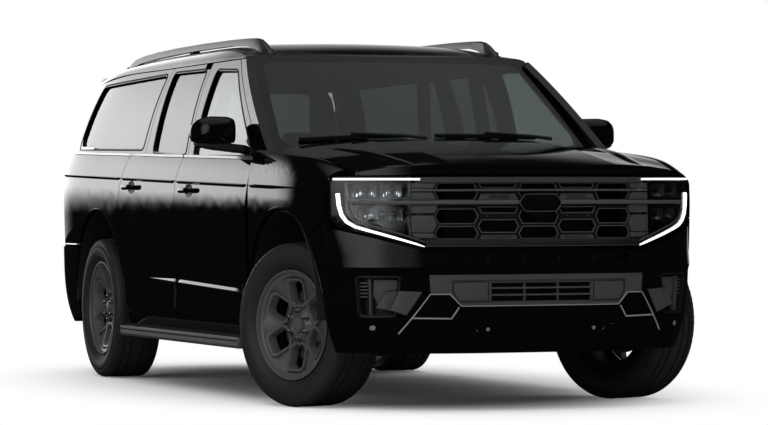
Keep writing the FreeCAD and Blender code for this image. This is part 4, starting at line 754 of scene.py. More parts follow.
def reflector(box, flutes, rows, depth, rim):
    # A bowl of small pillowed facets between x and z limits, closed behind.
    x0, x1, z0, z1 = box
    across, up = flutes * 4, rows * 4
    front, back = [], []
    for j in range(up + 1):
        for i in range(across + 1):
            u, v = i / across, j / up
            bowl = depth * (1 - (2 * u - 1) ** 2) * (1 - 0.6 * (2 * v - 1) ** 2)
            pillow = 0.0035 * abs(math.sin(math.pi * u * flutes)) * (0.6 + 0.4 * abs(math.sin(math.pi * v * rows)))
            x, z = x0 + (x1 - x0) * u, z0 + (z1 - z0) * v
            front.append(nosePoint(x, z, rim - bowl + pillow))
            back.append(nosePoint(x, z, rim - depth - 0.006))
    wide, count = across + 1, len(front)
    faces = []
    for j in range(up):
        for i in range(across):
            a = j * wide + i
            faces.append((a, a + 1, a + wide + 1, a + wide))
            faces.append((a + count, a + wide + count, a + wide + 1 + count, a + 1 + count))
    edge = [i for i in range(wide)] + [j * wide + across for j in range(1, up + 1)]
    edge += [up * wide + i for i in reversed(range(across))] + [j * wide for j in reversed(range(1, up))]
    faces += [(edge[i - 1], edge[i], edge[i] + count, edge[i - 1] + count) for i in range(len(edge))]
    return front + back, faces


def lampParts(p):
    parts = {"housing": [], "modules": [], "lens": [], "light": [], "lip": [], "cover": []}
    for side in (1, -1):
        outline = sided(p["outline"], side)
        pockets = [sided(roundedRing(p[key], 0.006), side) for key in ("upper", "lower")]
        parts["housing"].append(plate(outline, pockets, -p["sunk"], 0.016, 0.02, 0.002))
        for ring in pockets:
            parts["housing"].append(ringWall(ring, [(-p["sunk"] - 0.010, 0.003), (-p["pocketDepth"], -0.004),
                                                    (-p["pocketDepth"] - 0.004, -0.002), (-p["sunk"] - 0.012, 0.006)]))
            parts["housing"].append(plate(grownRing(ring, -0.003), [], -p["pocketDepth"] + 0.002, 0.006, 0.02))
            frame = plate(ring, [grownRing(ring, -0.0055)], -p["sunk"] - 0.002, 0.010, 0.02, 0.001)
            parts["lip"].append(frame)
        for x0, x1, z0, z1, flutes in p["bowls"]:
            box = (x0, x1, z0, z1) if side > 0 else (-x1, -x0, z0, z1)
            parts["modules"].append(reflector(box, flutes, 2, 0.030, -p["sunk"] - 0.010))
        for x, z, r in p["blocks"]:
            ball = []
            for k in range(6):
                a = math.radians(90 - 18 * k)
                out = r * math.sin(a) - p["blockDepth"]
                ball.append([nosePoint(side * x + r * math.cos(a) * math.cos(b), z + r * math.cos(a) * math.sin(b), out)
                             for b in around(20)])
            ball.append([nosePoint(side * x + r * math.cos(b), z + r * math.sin(b), -0.046) for b in around(20)])
            points, faces = bridge(ball)
            faces.append(tuple(len(points) - 20 + i for i in range(20)))
            parts["lens"].append((points, faces))
        parts["light"].append(strip(sided(p["barPath"], side), p["barWidth"], 0.0045, 0.012, fine=0.02))
        widths = p["hookWidth"] if side > 0 else list(reversed(p["hookWidth"]))
        parts["light"].append(strip(sided(p["hookPath"], side), widths, 0.0035, 0.012, fine=0.015))
        parts["lip"].append(strip(sided(p["lipPath"], side), 0.006, 0.000, 0.010, fine=0.015))
        cover = sided(roundedRing(p["cover"], 0.012), side)
        parts["cover"].append(plate(cover, [], -0.0020, 0.0025, 0.02, 0.0008))
    return {key: joinParts(value) for key, value in parts.items()}


lampMade = lampParts(lamp)
housing = newPiece("headlampHousings", *lampMade["housing"], "lampBlack", "body", "grille_plastic", 40)
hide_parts("headlamps")
for name, key, finish, slot, smoothBelow in (("Reflectors", "modules", "reflector", "lamp_lens", 60),
                                             ("Lenses", "lens", "lensBlock", "lamp_lens", 60),
                                             ("LightBars", "light", "lampWhite", "lamp_lens", 40),
                                             ("Lips", "lip", "satinEdge", "grille_plastic", 40),
                                             ("Covers", "cover", "lens", "lamp_lens", 40)):
    newPiece("headlamp" + name, *lampMade[key], finish, "body", slot, smoothBelow)
print("headlamps built")

# Grille: interlocking hexagonal cells in two storeys, bars across and a bare plate in the middle.
grille = {"columns": [-0.412, -0.206, 0, 0.206, 0.412], "halfWide": 0.1045, "flat": 0.0855,
          "lowStorey": (0.828, 0.982), "highStorey": (1.012, 1.096), "web": 0.026, "webDepth": 0.018,
          "rim": 0.0038}


def grilleCells(g):
    cells = []
    for k, x in enumerate(g["columns"]):
        if k % 2 == 0:
            rows = [(1.054, 0.042, "highStorey"), (0.9365, 0.0365, "lowStorey"), (0.8535, 0.0365, "lowStorey")]
        else:
            rows = [(1.1120, 0.0420, "highStorey"), (1.0010, 0.0420, "highStorey"), (0.9890, 0.0390, "lowStorey"),
                    (0.8895, 0.0320, "lowStorey"), (0.8070, 0.0380, "lowStorey")]
        for z, half, storey in rows:
            ring = [(x - g["halfWide"], z), (x - g["flat"], z + half), (x + g["flat"], z + half),
                    (x + g["halfWide"], z), (x + g["flat"], z - half), (x - g["flat"], z - half)]
            low, high = g[storey]
            ring = clipRing(ring, low, high)
            if ring:
                cells.append(roundedRing(ring, 0.003, 2))
    return cells


cells = grilleCells(grille)
webOutline = [(-0.556, 0.814), (-0.556, 1.112), (0.556, 1.112), (0.556, 0.814)]
web = plate(webOutline, cells, -grille["web"], grille["webDepth"], 0.04)
frameSide = bothSides(lambda s: plate(sided([(0.5545, 0.7900), (0.5545, 1.1240), (0.5980, 1.1240),
                                             (0.5980, 0.8300), (0.5600, 0.8150)], s), [], -0.014, 0.030, 0.02))
grilleWeb = newPiece("grilleWeb", *joinParts([web, frameSide]), "grille", "body", "grille_plastic", 40)
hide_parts("grille")
# Each cell rim is pale grey: painted highlight along the black web's edges.
rimHighlights = [plate(grownRing(ring, 0.0006), [grownRing(ring, -grille["rim"])], -grille["web"] + 0.003, 0.008, 0.05)
        for ring in cells]
newPiece("grilleCellRimHighlights", *joinParts(rimHighlights), "satinEdge", "body", "grille_plastic", 30)
# Cell walls, so that the web is a deep lattice seen from an angle.
walls = []
for ring in cells:
    inner = grownRing(ring, -0.0012)
    rows = [[nosePoint(x, z, depth) for x, z in loop]
            for loop, depth in ((ring, -grille["web"] - 0.014), (ring, -0.075), (inner, -0.075),
                                (inner, -grille["web"] - 0.014), (ring, -grille["web"] - 0.014))]
    walls.append(bridge(rows))
newPiece("grilleCellWalls", *joinParts(walls), "grille", "body", "grille_plastic", 30)

bars = [noseBar([(1.0115, -0.016), (1.0115, 0.0000), (1.0075, 0.0035), (0.9985, 0.0040), (0.9935, 0.0005),
                 (0.9935, -0.016)], span(-0.862, 0.862)),
        noseBar([(1.0655, -0.024), (1.0655, -0.010), (1.0630, -0.0075), (1.0580, -0.0075), (1.0555, -0.010),
                 (1.0555, -0.024)], span(-0.620, 0.620))]
newPiece("grilleCrossBars", *joinParts(bars), "barGrey", "body", "grille_plastic", 40)
topBand = noseBar([(1.1240, -0.030), (1.1240, -0.004), (1.1220, -0.001), (1.0980, -0.004), (1.0960, -0.007),
                   (1.0960, -0.030)], span(-0.5765, 0.5765))
newPiece("grilleTopBand", *topBand, "bandGrey", "body", "grille_plastic", 40)
grilleSill = noseBar([(0.8290, -0.040), (0.8280, -0.014), (0.8200, -0.006), (0.8000, -0.001), (0.7960, 0.0015),
                      (0.7925, 0.0015), (0.7890, -0.003), (0.7870, -0.008), (0.7870, -0.040)],
                     span(-0.5555, 0.5555))
newPiece("grilleSill", *grilleSill, "grille", "body", "grille_plastic", 40)
# A pale line along the sill's ridge: painted highlight.
ridge = noseBar([(0.7955, -0.004), (0.7955, 0.0022), (0.7930, 0.0022), (0.7930, -0.004)], span(-0.5555, 0.5555))
newPiece("grilleSillHighlightLine", *ridge, "satinEdge", "body", "grille_plastic", 40)


def blanks(side):
    # Flat grey blanking plates between the lamp and the first cells.
    rings = [[(0.646, 1.0950), (0.632, 1.0690), (0.521, 1.0690), (0.505, 1.0950)],
             [(0.636, 1.0500), (0.652, 1.0130), (0.505, 1.0130), (0.523, 1.0500)],
             [(0.652, 0.9905), (0.634, 0.9520), (0.519, 0.9520), (0.505, 0.9700), (0.503, 0.9905)],
             [(0.636, 0.9410), (0.654, 0.9100), (0.632, 0.8600), (0.523, 0.8600), (0.509, 0.8900), (0.506, 0.9000),
              (0.523, 0.9410)],
             [(0.628, 0.8560), (0.600, 0.8330), (0.510, 0.8330), (0.523, 0.8560)]]
    return joinParts([plate(sided(ring, side), [], -0.012, 0.016, 0.03, 0.0015) for ring in rings])


newPiece("grilleBlanks", *bothSides(blanks), "blankGrey", "body", "grille_plastic", 35)

# A bare plate where the grille's badge would be.
badgeRing = [(-0.116, 1.000), (-0.082, 1.045), (0.082, 1.045), (0.116, 1.000), (0.082, 0.955), (-0.082, 0.955)]
badge = [plate(roundedRing(badgeRing, 0.014), [], 0.006, 0.024, 0.04, 0.004),
         plate(roundedRing(grownRing(badgeRing, -0.014), 0.010), [], 0.0085, 0.006, 0.04, 0.0015),
         plate([(-0.070, 0.957), (0.070, 0.957), (0.048, 0.925), (-0.048, 0.925)], [], 0.000, 0.020, 0.04, 0.004)]
newPiece("badgePlate", *joinParts(badge), "glossTrim", "body", "grille_plastic", 40)
badgeEdge = strip(roundedRing(grownRing(badgeRing, -0.004), 0.012), 0.0035, 0.0082, closed=True)
newPiece("badgeEdge", *badgeEdge, "satinEdge", "body", "grille_plastic", 40)
eye = plate(roundedRing(boxRing(-0.012, 0.012, 0.948, 0.932), 0.007), [], 0.003, 0.008, 0.04, 0.002)
newPiece("frontCamera", *eye, "lampBlack", "body", "grille_plastic", 40)
dots = [softBlock((0.007, 0.005, 0.005), nosePoint(x, 0.9375, -0.022), 0.0015)
        for x in (-0.262, -0.150, 0.150, 0.262)]
newPiece("grilleFixings", *joinParts(dots), "satinEdge", "body", "grille_plastic", 40)
print("grille built")

# Bumper: grey centre panel with a sunk intake, skid outlines, side pockets, upper slot and sensors.
bumper = {"panel": wholeRing([(0.5545, 0.6610), (0.5490, 0.5730), (0.4630, 0.5670), (0.4110, 0.5110)]),
          "recess": wholeRing([(0.450, 0.6330), (0.450, 0.5740), (0.4180, 0.5270)]),
          "intake": boxRing(-0.256, 0.256, 0.6190, 0.5330),
          "intakeBars": (0.5950, 0.5620), "intakeBlades": (-0.086, 0.086),
          "skidOuter": [(-0.6800, 0.3800), (-0.6270, 0.4550), (-0.5490, 0.5680), (-0.4600, 0.5680),
                        (-0.4060, 0.5110), (0.4060, 0.5110), (0.4600, 0.5680), (0.5490, 0.5680),
                        (0.6270, 0.4550), (0.6800, 0.3800)],
          "skidInner": [(0.6270, 0.4550), (0.4520, 0.4520), (0.4180, 0.5050)],
          "tow": [(0.4950, 0.3900), (0.4720, 0.4180), (0.3440, 0.4180), (0.3240, 0.3900)],
          "pocket": [(0.682, 0.648), (0.856, 0.648), (0.840, 0.464), (0.702, 0.464)],
          "slatTop": 0.6250, "slatPitch": 0.0165, "slats": 5, "slotBlades": (-0.273, -0.091, 0.091, 0.273),
          "sensors": ((0.274, 0.401), (0.789, 0.408))}


def centrePanel(b):
    recess = roundedRing(b["recess"], 0.008)
    intake = roundedRing(b["intake"], 0.006)
    parts = [plate(roundedRing(b["panel"], 0.005), [recess], -0.001, 0.016, 0.03, 0.0025),
             plate(grownRing(recess, 0.004), [intake], -0.0145, 0.006, 0.03, 0.001)]
    for side in (1, -1):
        ring = [(0.276, 0.6220), (0.441, 0.6220), (0.441, 0.5760), (0.414, 0.5360), (0.276, 0.5360)]
        parts.append(plate(sided(roundedRing(ring, 0.006), side), [], -0.0055, 0.012, 0.03, 0.0025))
        post = sided(boxRing(0.258, 0.268, 0.6220, 0.5320), side)
        parts.append(plate(post, [], -0.0050, 0.014, 0.03, 0.002))
    return joinParts(parts)


def intakeGrid(b):
    parts = []
    for z in b["intakeBars"]:
        parts.append(noseBar([(z + 0.0045, -0.030), (z + 0.0045, -0.010), (z + 0.0025, -0.006), (z - 0.0025, -0.006),
                              (z - 0.0045, -0.010), (z - 0.0045, -0.030)], span(-0.260, 0.260)))
    for x in b["intakeBlades"]:
        parts.append(plate(boxRing(x - 0.003, x + 0.003, 0.6200, 0.5320), [], -0.012, 0.022, 0.03, 0.001))
    return joinParts(parts)


centre = newPiece("bumperCentrePanel", *centrePanel(bumper), "greyPlastic", "body", "grey_plastic", 35)
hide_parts("lower_grille")
newPiece("intakeBars", *intakeGrid(bumper), "barGrey", "body", "grey_plastic", 35)
screenBack = plate(grownRing(bumper["intake"], 0.010), [], -0.036, 0.006, 0.05)
newPiece("intakeScreen", *screenBack, "lampBlack", "body", "grille_plastic", 35)


def skidLines(b):
    lines = [strip(b["skidOuter"], [0.008, 0.007, 0.0055, 0.0055, 0.0045, 0.0045, 0.0055, 0.0055, 0.007, 0.008],
                   0.003)]
    for side in (1, -1):
        lines.append(strip(sided(b["skidInner"], side), 0.007, 0.0034))
        lines.append(strip(sided(b["tow"], side), 0.0032, 0.0012))
    return joinParts(lines)


newPiece("skidOutlines", *skidLines(bumper), "darkChrome", "body", "grille_plastic", 40)


def sidePocket(b, side):
    ring = sided(roundedRing(b["pocket"], 0.016), side)
    wall = ringWall(ring, [(-0.004, -0.0005), (-0.050, -0.0005), (-0.050, -0.0025), (-0.005, -0.0025)])
    dark = [plate(grownRing(ring, 0.004), [], -0.048, 0.006, 0.02), wall,
            strip(grownRing(ring, 0.0035), 0.0075, 0.0028, closed=True)]
    face = [(0.6900, 0.6360), (0.8000, 0.6360), (0.8000, 0.5600), (0.7750, 0.5100), (0.7420, 0.5820), (0.6900, 0.5860)]
    slope = [(0.7400, 0.5800), (0.6870, 0.5840), (0.7230, 0.4900), (0.7860, 0.5020)]
    fin = [(0.6840, 0.5850), (0.5840, 0.5790), (0.6500, 0.4680), (0.7230, 0.4920)]
    post = [(0.8080, 0.6400), (0.8150, 0.6400), (0.8080, 0.4700), (0.8010, 0.4700)]
    shapes = [(roundedRing(face, 0.004), -0.026, 0.014, 0.0025), (roundedRing(slope, 0.003), -0.014, 0.018, 0.003),
              (roundedRing(fin, 0.003), 0.0060, 0.014, 0.004), (post, -0.010, 0.030, 0.0015)]
    for z in [b["slatTop"] - b["slatPitch"] * k for k in range(b["slats"])]:
        slat = [(0.8200, z), (0.8500, z), (0.8490, z - 0.007), (0.8195, z - 0.007)]
        shapes.append((slat, -0.014, 0.026, 0.001))
    grey = [plate(sided(shape, side), [], proud, depth, 0.02, bevel) for shape, proud, depth, bevel in shapes]
    return joinParts(grey), joinParts(dark)


greyParts, darkParts = zip(*[sidePocket(bumper, side) for side in (1, -1)])
newPiece("bumperPocketInserts", *joinParts(greyParts), "greyPlastic", "body", "grey_plastic", 35)
newPiece("bumperPocketFrames", *joinParts(darkParts), "satinBlack", "body", "grey_plastic", 35)


def upperSlot(b):
    parts = []
    for x in b["slotBlades"]:
        parts.append(plate(boxRing(x - 0.0028, x + 0.0028, 0.7600, 0.7200), [], -0.008, 0.034, 0.03, 0.001))
    parts.append(plate([(-0.500, 0.768), (0.500, 0.768), (0.455, 0.712), (-0.455, 0.712)], [], -0.056, 0.006, 0.04))
    return joinParts(parts)


newPiece("bumperUpperSlot", *upperSlot(bumper), "satinBlack", "body", "grille_plastic", 35)


def sensor(x, z, r=0.0100, place=nosePoint):
    rows = [[place(x + k * math.cos(a), z + k * math.sin(a), h) for a in around(20)]
            for k, h in ((r + 0.002, -0.002), (r + 0.002, 0.0012), (r + 0.0008, 0.0016), (r, 0.0008),
                         (r * 0.7, 0.0022), (r * 0.3, 0.0026))]
    points, faces = bridge(rows)
    faces.append(tuple(len(points) - 20 + i for i in range(20)))
    return points, faces


sensors = [sensor(side * x, z) for side in (1, -1) for x, z in bumper["sensors"]]
newPiece("parkingSensors", *joinParts(sensors), "sensorGrey", "body", "grey_plastic", 40)
print("bumper built")


# Body side. A ray finds the skin, so each trim lies on the panel that carries it.
def finder(names):
    points, faces = [], []
    for name in names:
        mesh = nodes[name].data
        start = len(points)
        points += [v.co.copy() for v in mesh.vertices]
        faces += [tuple(start + i for i in p.vertices) for p in mesh.polygons]
    return BVHTree.FromPolygons(points, faces)


sideSkin = finder(["body_sides", "front_wings", "front_door_left", "rear_door_left", "rear_bumper",
                   "front_bumper", "tailgate"])


def castPoint(skin, axis, start, least, spare, place, proud):
    # The skin's point at a place, seen along x or y; a ray that slips into a seam is cast again beside it.
    point, ahead = Vector(place), Vector((0, 0, 0))
    ahead[axis] = -1
    for shift in (0, 0.006, -0.006, 0.012, -0.012):
        for lift in (0, 0.006, -0.006):
            origin = Vector(place)
            origin[axis], origin[1 - axis], origin[2] = start, place[1 - axis] + shift, place[2] + lift
            hit, normal = skin.ray_cast(origin, ahead)[:2]
            if hit is not None and hit[axis] > least:
                point[axis] = hit[axis]
                return point + normal.normalized() * proud
    point[axis] = spare + proud
    return point


def sidePoint(y, z, proud=0.0):
    return castPoint(sideSkin, 0, 1.4, 0.70, 0.95, (0, y, z), proud)


def flipped(part):
    return [(-p[0], p[1], p[2]) for p in part[0]], part[1]


def pairPieces(name, part, finish, bodies, slot=None, smoothBelow=40):
    # The same piece on the left and the right, each on its own body.
    return [newPiece(name + "_" + side, *form, finish, body, slot, smoothBelow)
            for side, body, form in (("left", bodies[0], part), ("right", bodies[-1], flipped(part)))]


# A bright strip along the belt line and a rubber seal round each window.
frontDoors = ["front_door_left", "front_door_right"]
rearDoors = ["rear_door_left", "rear_door_right"]
belt = {"height": 1.243, "slope": 0.087 / 3.473, "start": -1.380, "width": 0.0180, "proud": 0.0040}
sidePanels = {"Front": {"bodies": frontDoors, "strip": (-1.352, -0.172, 0.001),
                        "window": [(-1.246, 1.256), (-0.668, 1.706), (-0.298, 1.722), (-0.262, 1.270)]},
              "Rear": {"bodies": rearDoors, "strip": (-0.150, 0.648, 0.001),
                       "window": [(-0.112, 1.276), (-0.100, 1.732), (0.506, 1.738), (0.512, 1.302)]},
              "Quarter": {"bodies": ["body"], "strip": (0.664, 2.110, 0.0),
                          "window": [(0.724, 1.322), (0.640, 1.734), (1.985, 1.716), (2.136, 1.352)]}}
for name, panel in sidePanels.items():
    start, end, sink = panel["strip"]
    path = [(y, belt["height"] + belt["slope"] * (y - belt["start"]) - belt["width"] / 2) for y in (start, end)]
    beltStrip = strip(path, belt["width"], belt["proud"], sink, sidePoint, fine=0.04)
    pairPieces("beltStrip" + name, beltStrip, "strip", panel["bodies"], "black_paint")
for name, panel in sidePanels.items():
    ring = grownRing(roundedRing(panel["window"], 0.035), 0.0085)
    windowTrim = strip(ring, 0.010, 0.0022, 0.0006, sidePoint, closed=True, fine=0.05)
    pairPieces("windowTrim" + name, windowTrim, "seal", panel["bodies"], "black_plastic")


# Door handles: a bar on two feet over a shallow cup.
handle = {"length": 0.200, "height": 0.030, "reach": 0.036, "cup": (0.068, 0.036), "front": (-0.367, 1.079),
          "rear": (0.737, 1.105)}


def doorHandle(h, place):
    y0, z0 = place
    half = h["length"] / 2
    skin = sidePoint(y0, z0).x
    rows = []
    for t in span(-1, 1, 0.125):
        y = y0 + half * t
        rise = h["reach"] * (1 - 0.55 * abs(t) ** 5)
        tall = h["height"] / 2 * (1 - 0.35 * abs(t) ** 4)
        thick = 0.0085 * (1 - 0.3 * abs(t) ** 4)
        rows.append([(skin + rise + thick * math.cos(a), y, z0 + tall * math.sin(a)) for a in around(16)])
    feet = [softBlock((h["reach"], 0.030, 0.020), (skin + h["reach"] / 2 - 0.001, y0 + end * (half - 0.024), z0), 0.006)
            for end in (-1, 1)]
    return joinParts([capped(rows)] + feet)


def handleCup(h, place):
    (y0, z0), (wide, tall) = place, h["cup"]
    return capped([[sidePoint(y0 + wide * scale * math.cos(a), z0 + tall * scale * math.sin(a), out)
                    for a in around(32)]
                   for scale, out in ((1.0, 0.0004), (1.0, 0.0016), (0.94, 0.0022), (0.86, 0.0010))])


for name, bodies in (("front", frontDoors), ("rear", rearDoors)):
    pairPieces(name + "DoorHandle", doorHandle(handle, handle[name]), "lacquer", bodies, "black_paint")
    pairPieces(name + "DoorHandleCup", handleCup(handle, handle[name]), "satinBlack", bodies, "black_plastic")


# Wheel-arch lips.
archLip = {"radius": 0.5255, "height": 0.458, "width": 0.011, "rise": 0.0035, "steps": 48}


def archStrip(a, axle, first, last):
    path = [(axle + a["radius"] * math.cos(angle), a["height"] + a["radius"] * math.sin(angle))
            for angle in [math.radians(first + (last - first) * k / a["steps"]) for k in range(a["steps"] + 1)]]
    return strip(path, a["width"], a["rise"], 0.001, sidePoint, fine=0.04)


pairPieces("archLipFront", archStrip(archLip, wheel["frontAxle"], 12, 168), "lacquer", ["body"], "black_paint")
pairPieces("archLipRear", archStrip(archLip, wheel["rearAxle"], 0, 180), "lacquer", ["body"], "black_paint")


# Mirrors: a rounded housing over a flat arm, with the glass sunk in its rear face.
mirror = {"rings": [(0.962, 0.040, 0.050, 1.384), (0.972, 0.060, 0.062, 1.384), (1.000, 0.074, 0.069, 1.385),
                    (1.090, 0.078, 0.071, 1.385), (1.135, 0.072, 0.067, 1.382), (1.165, 0.056, 0.058, 1.376),
                    (1.180, 0.034, 0.044, 1.370), (1.1845, 0.012, 0.020, 1.366)],
          "rear": -0.944,
          "arm": [(0.905, -1.075, -0.985, 1.264, 1.306), (0.950, -1.078, -0.982, 1.266, 1.311),
                  (1.010, -1.078, -0.968, 1.274, 1.318), (1.080, -1.070, -0.955, 1.282, 1.322),
                  (1.140, -1.050, -0.955, 1.294, 1.324), (1.168, -1.020, -0.962, 1.306, 1.326)]}


def mirrorHousing(m):
    rows = []
    for x, deep, tall, z0 in m["rings"]:
        ring = []
        for a in around(32):
            c, s = math.cos(a), math.sin(a)
            c = math.copysign(abs(c) ** 0.75, c)
            s = math.copysign(abs(s) ** 0.70, s)
            y = m["rear"] - deep + deep * c
            ring.append((x, min(y, m["rear"]), z0 + tall * s - 0.010 * max(0, -c)))
        rows.append(ring)
    return capped(rows)


def mirrorArm(m):
    rows = []
    for x, y0, y1, z0, z1 in m["arm"]:
        y, z, hy, hz = (y0 + y1) / 2, (z0 + z1) / 2, (y1 - y0) / 2, (z1 - z0) / 2
        rows.append([(x, y + hy * math.copysign(abs(math.cos(a)) ** 0.5, math.cos(a)),
                      z + hz * math.copysign(abs(math.sin(a)) ** 0.5, math.sin(a))) for a in around(24)])
    return capped(rows)


def mirrorGlass(m):
    ring = roundedRing([(1.022, 1.330), (1.022, 1.440), (1.130, 1.440), (1.164, 1.405), (1.158, 1.330)], 0.02)
    return capped([[(x, m["rear"] + y, z) for x, z in grownRing(ring, g)]
                   for g, y in ((0.004, -0.004), (0.004, 0.0035), (0.0, 0.0035), (-0.001, 0.0015), (-0.02, 0.0015))])


for shell, side in zip(pairPieces("mirrorHousing", mirrorHousing(mirror), "lacquer", frontDoors, "black_paint", 50),
                       ("left", "right")):
    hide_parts("mirror_" + side)
pairPieces("mirrorArm", mirrorArm(mirror), "grained", frontDoors, "black_plastic", 50)
pairPieces("mirrorGlass", mirrorGlass(mirror), "reflector", frontDoors, "glass", 40)


# Roof rails: a deep bar that stands close over the roof and runs out in a foot at each end.
rail = {"half": 0.022, "x": 0.645, "feet": (-0.5, 1.9),
        "stations": [(-0.690, 1.792, 1.800), (-0.620, 1.803, 1.835), (-0.560, 1.812, 1.864), (-0.500, 1.824, 1.884),
                     (-0.430, 1.842, 1.894), (-0.300, 1.860, 1.899), (0.000, 1.870, 1.905), (0.500, 1.873, 1.909),
                     (1.000, 1.870, 1.908), (1.400, 1.862, 1.902), (1.700, 1.850, 1.892), (1.850, 1.838, 1.880),
                     (1.930, 1.826, 1.866), (2.000, 1.819, 1.846), (2.060, 1.812, 1.822)]}


def roofRail(r):
    rows = []
    for y, low, high in r["stations"]:
        foot = 1.25 if y < r["feet"][0] or y > r["feet"][1] else 1.0
        rows.append([(r["x"] - r["half"] * foot, y, low), (r["x"] - r["half"] * 0.8, y, high - 0.006),
                     (r["x"] - r["half"] * 0.5, y, high), (r["x"] + r["half"] * 0.35, y, high),
                     (r["x"] + r["half"] * 0.7, y, high - 0.007), (r["x"] + r["half"] * foot, y, low)])
    return capped(rows)


railMade = roofRail(rail)
railPads = [softBlock((0.050, 0.16, 0.020), (rail["x"], y, z), 0.006) for y, z in ((-0.56, 1.816), (1.93, 1.828))]
railPads.append(softBlock((0.036, 0.09, 0.016), (rail["x"], 0.70, 1.867), 0.004))
bothRails = joinParts([railMade, flipped(railMade)])
rails = newPiece("roofRailBars", *bothRails, "railSatin", "body", "black_plastic", 40)
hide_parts("roof_rails")
padParts = joinParts(railPads)
newPiece("roofRailFeet", *joinParts([padParts, flipped(padParts)]), "grained", "body", "black_plastic", 40)


# Running boards: raised ribs on the tread and a band along the outer edge.
tread = {"start": -1.240, "pitch": 0.024, "count": 86, "x": 0.985, "top": 0.3305, "edge": 1.0435}
rib = softBlock((0.086, 0.010, 0.004), (tread["x"], tread["start"], tread["top"]), 0.0015)
ribs = repeated(rib, "grained", tread["count"], offset=(0, tread["pitch"], 0))
pairPieces("runningBoardRibs", ribs, "grained", ["body"], "grey_plastic")
edge = noseBar([(0.3225, 0.0), (0.3225, 0.0035), (0.3180, 0.0050), (0.3020, 0.0050), (0.2980, 0.0035), (0.2980, 0.0)],
               span(-1.290, 0.860, 0.2), lambda y, z, proud: Vector((tread["edge"] + proud * 0.2, y, z)))
pairPieces("runningBoardEdges", edge, "satinEdge", ["body"], "grey_plastic")


# Wipers parked at the foot of the windscreen.
screenSkin = finder(["windscreen"])
screenOut = Vector((0, -0.55, 0.83))


def screenPoint(x, z, proud=0.0):
    hit = screenSkin.ray_cast(Vector((x, -3, z)), Vector((0, 1, 0)))
    if hit[0] is None:
        return Vector((x, -1.5, z))
    return hit[0] + screenOut * proud


def wiperBlade(x0, z0, x1, z1):
    blade = strip([(x0, z0), ((x0 + x1) / 2, (z0 + z1) / 2 + 0.004), (x1, z1)], 0.014, 0.022, -0.004, screenPoint,
                  fine=0.04)
    fin = strip([(x0 + 0.02, z0), (x1 - 0.02, z1)], 0.005, 0.012, 0.0, screenPoint, fine=0.04)
    return joinParts([blade, fin])


def wiperArm(x0, z0, x1, z1):
    return strip([(x0, z0), (x0 + (x1 - x0) * 0.3, z0 + 0.012), (x1, z1)], [0.026, 0.018, 0.012], 0.034, -0.022,
                 screenPoint, fine=0.04)


wipers = joinParts([wiperBlade(-0.740, 1.322, -0.170, 1.342), wiperArm(-0.080, 1.316, -0.470, 1.338),
                    wiperBlade(-0.020, 1.342, 0.560, 1.334), wiperArm(0.640, 1.316, 0.260, 1.344)])
newPiece("wipers", *wipers, "satinBlack", "body", "black_plastic", 35)
print("side and roof trim built")


# Hood: two soft creases, raised a little over the panel.
hoodSkin = finder(["hood"])
hoodCrease = {"front": (0.600, -2.640), "rear": (0.730, -1.720), "width": 0.110, "rise": 0.0095}


def hoodPoint(x, y, proud=0.0):
    hit = hoodSkin.ray_cast(Vector((x, y, 2)), Vector((0, 0, -1)))
    return hit[0] + hit[1] * proud if hit[0] is not None else Vector((x, y, 1.2 + proud))


def creaseForm(c):
    (x0, y0), (x1, y1) = c["front"], c["rear"]
    rows = []
    for t in span(0, 1, 0.04):
        swell = math.sin(math.pi * min(1, max(0.02, min(t, 1 - t) * 5)) / 2)
        half = c["width"] / 2 * (0.4 + 0.6 * swell)
        x, y = x0 + (x1 - x0) * t, y0 + (y1 - y0) * t
        row = [hoodPoint(x + half * k / 8, y, c["rise"] * swell * math.cos(math.pi * k / 16) ** 2 - 0.0004)
               for k in range(-8, 9)]
        rows.append(row + [hoodPoint(x + half * k / 4, y, -0.002) for k in (3, 1, -1, -3)])
    return capped(rows)


crease = creaseForm(hoodCrease)
newPiece("hoodCreases", *joinParts([crease, flipped(crease)]), "lacquer", "hood", "black_paint", 60)


# Pressed creases of the side: one under the belt that turns down, one low on the doors that turns up.
def sideRidge(start, end, line, up, down, rise, fadeStart, fadeEnd):
    rows = []
    for y in span(start, end, 0.04):
        k = min(1, (y - start + 0.004) / fadeStart, (end - y + 0.004) / fadeEnd)
        z = line[0] + line[1] * y
        rows.append([sidePoint(y, z + up * k, -0.0004), sidePoint(y, z, rise * k), sidePoint(y, z - down * k, -0.0004),
                     sidePoint(y, z, -0.003)])
    return capped(rows)


shoulder = {"line": (1.135, 0.0262), "up": 0.005, "down": 0.015, "rise": 0.0048}
sill = {"line": (0.589, 0.0285), "up": 0.016, "down": 0.005, "rise": 0.0050}
for name, form, start, end, bodies, fades in (
        ("shoulderCreaseWing", shoulder, -2.330, -1.378, ["body"], (0.60, 0.02)),
        ("shoulderCreaseFrontDoor", shoulder, -1.354, -0.128, frontDoors, (0.02, 0.02)),
        ("shoulderCreaseRearDoor", shoulder, -0.118, 0.950, rearDoors, (0.02, 0.02)),
        ("shoulderCreaseQuarter", shoulder, 0.958, 2.400, ["body"], (0.02, 0.10)),
        ("sillCreaseFront", sill, -1.230, -0.128, frontDoors, (0.08, 0.02)),
        ("sillCreaseRear", sill, -0.118, 0.420, rearDoors, (0.02, 0.50))):
    ridge = sideRidge(start, end, *form.values(), *fades)
    pairPieces(name, ridge, "lacquer", bodies, "black_paint", 12)


# The belt strip ends in a thicker block on the quarter panel.
beltEnd = strip([(1.740, 1.3420), (1.790, 1.3440), (2.075, 1.3505)], [0.004, 0.018, 0.020], 0.0052, 0.0, sidePoint,
                fine=0.04)
pairPieces("beltStripEnd", beltEnd, "strip", ["body"], "black_paint")


# Back of the car.
rearSkin = finder(["tailgate", "tailgate_glass", "tail_lamps", "body_sides", "rear_bumper"])


def rearPoint(x, z, proud=0.0):
    return castPoint(rearSkin, 1, 3.2, 2.25, 2.60, (x, 0, z), proud)


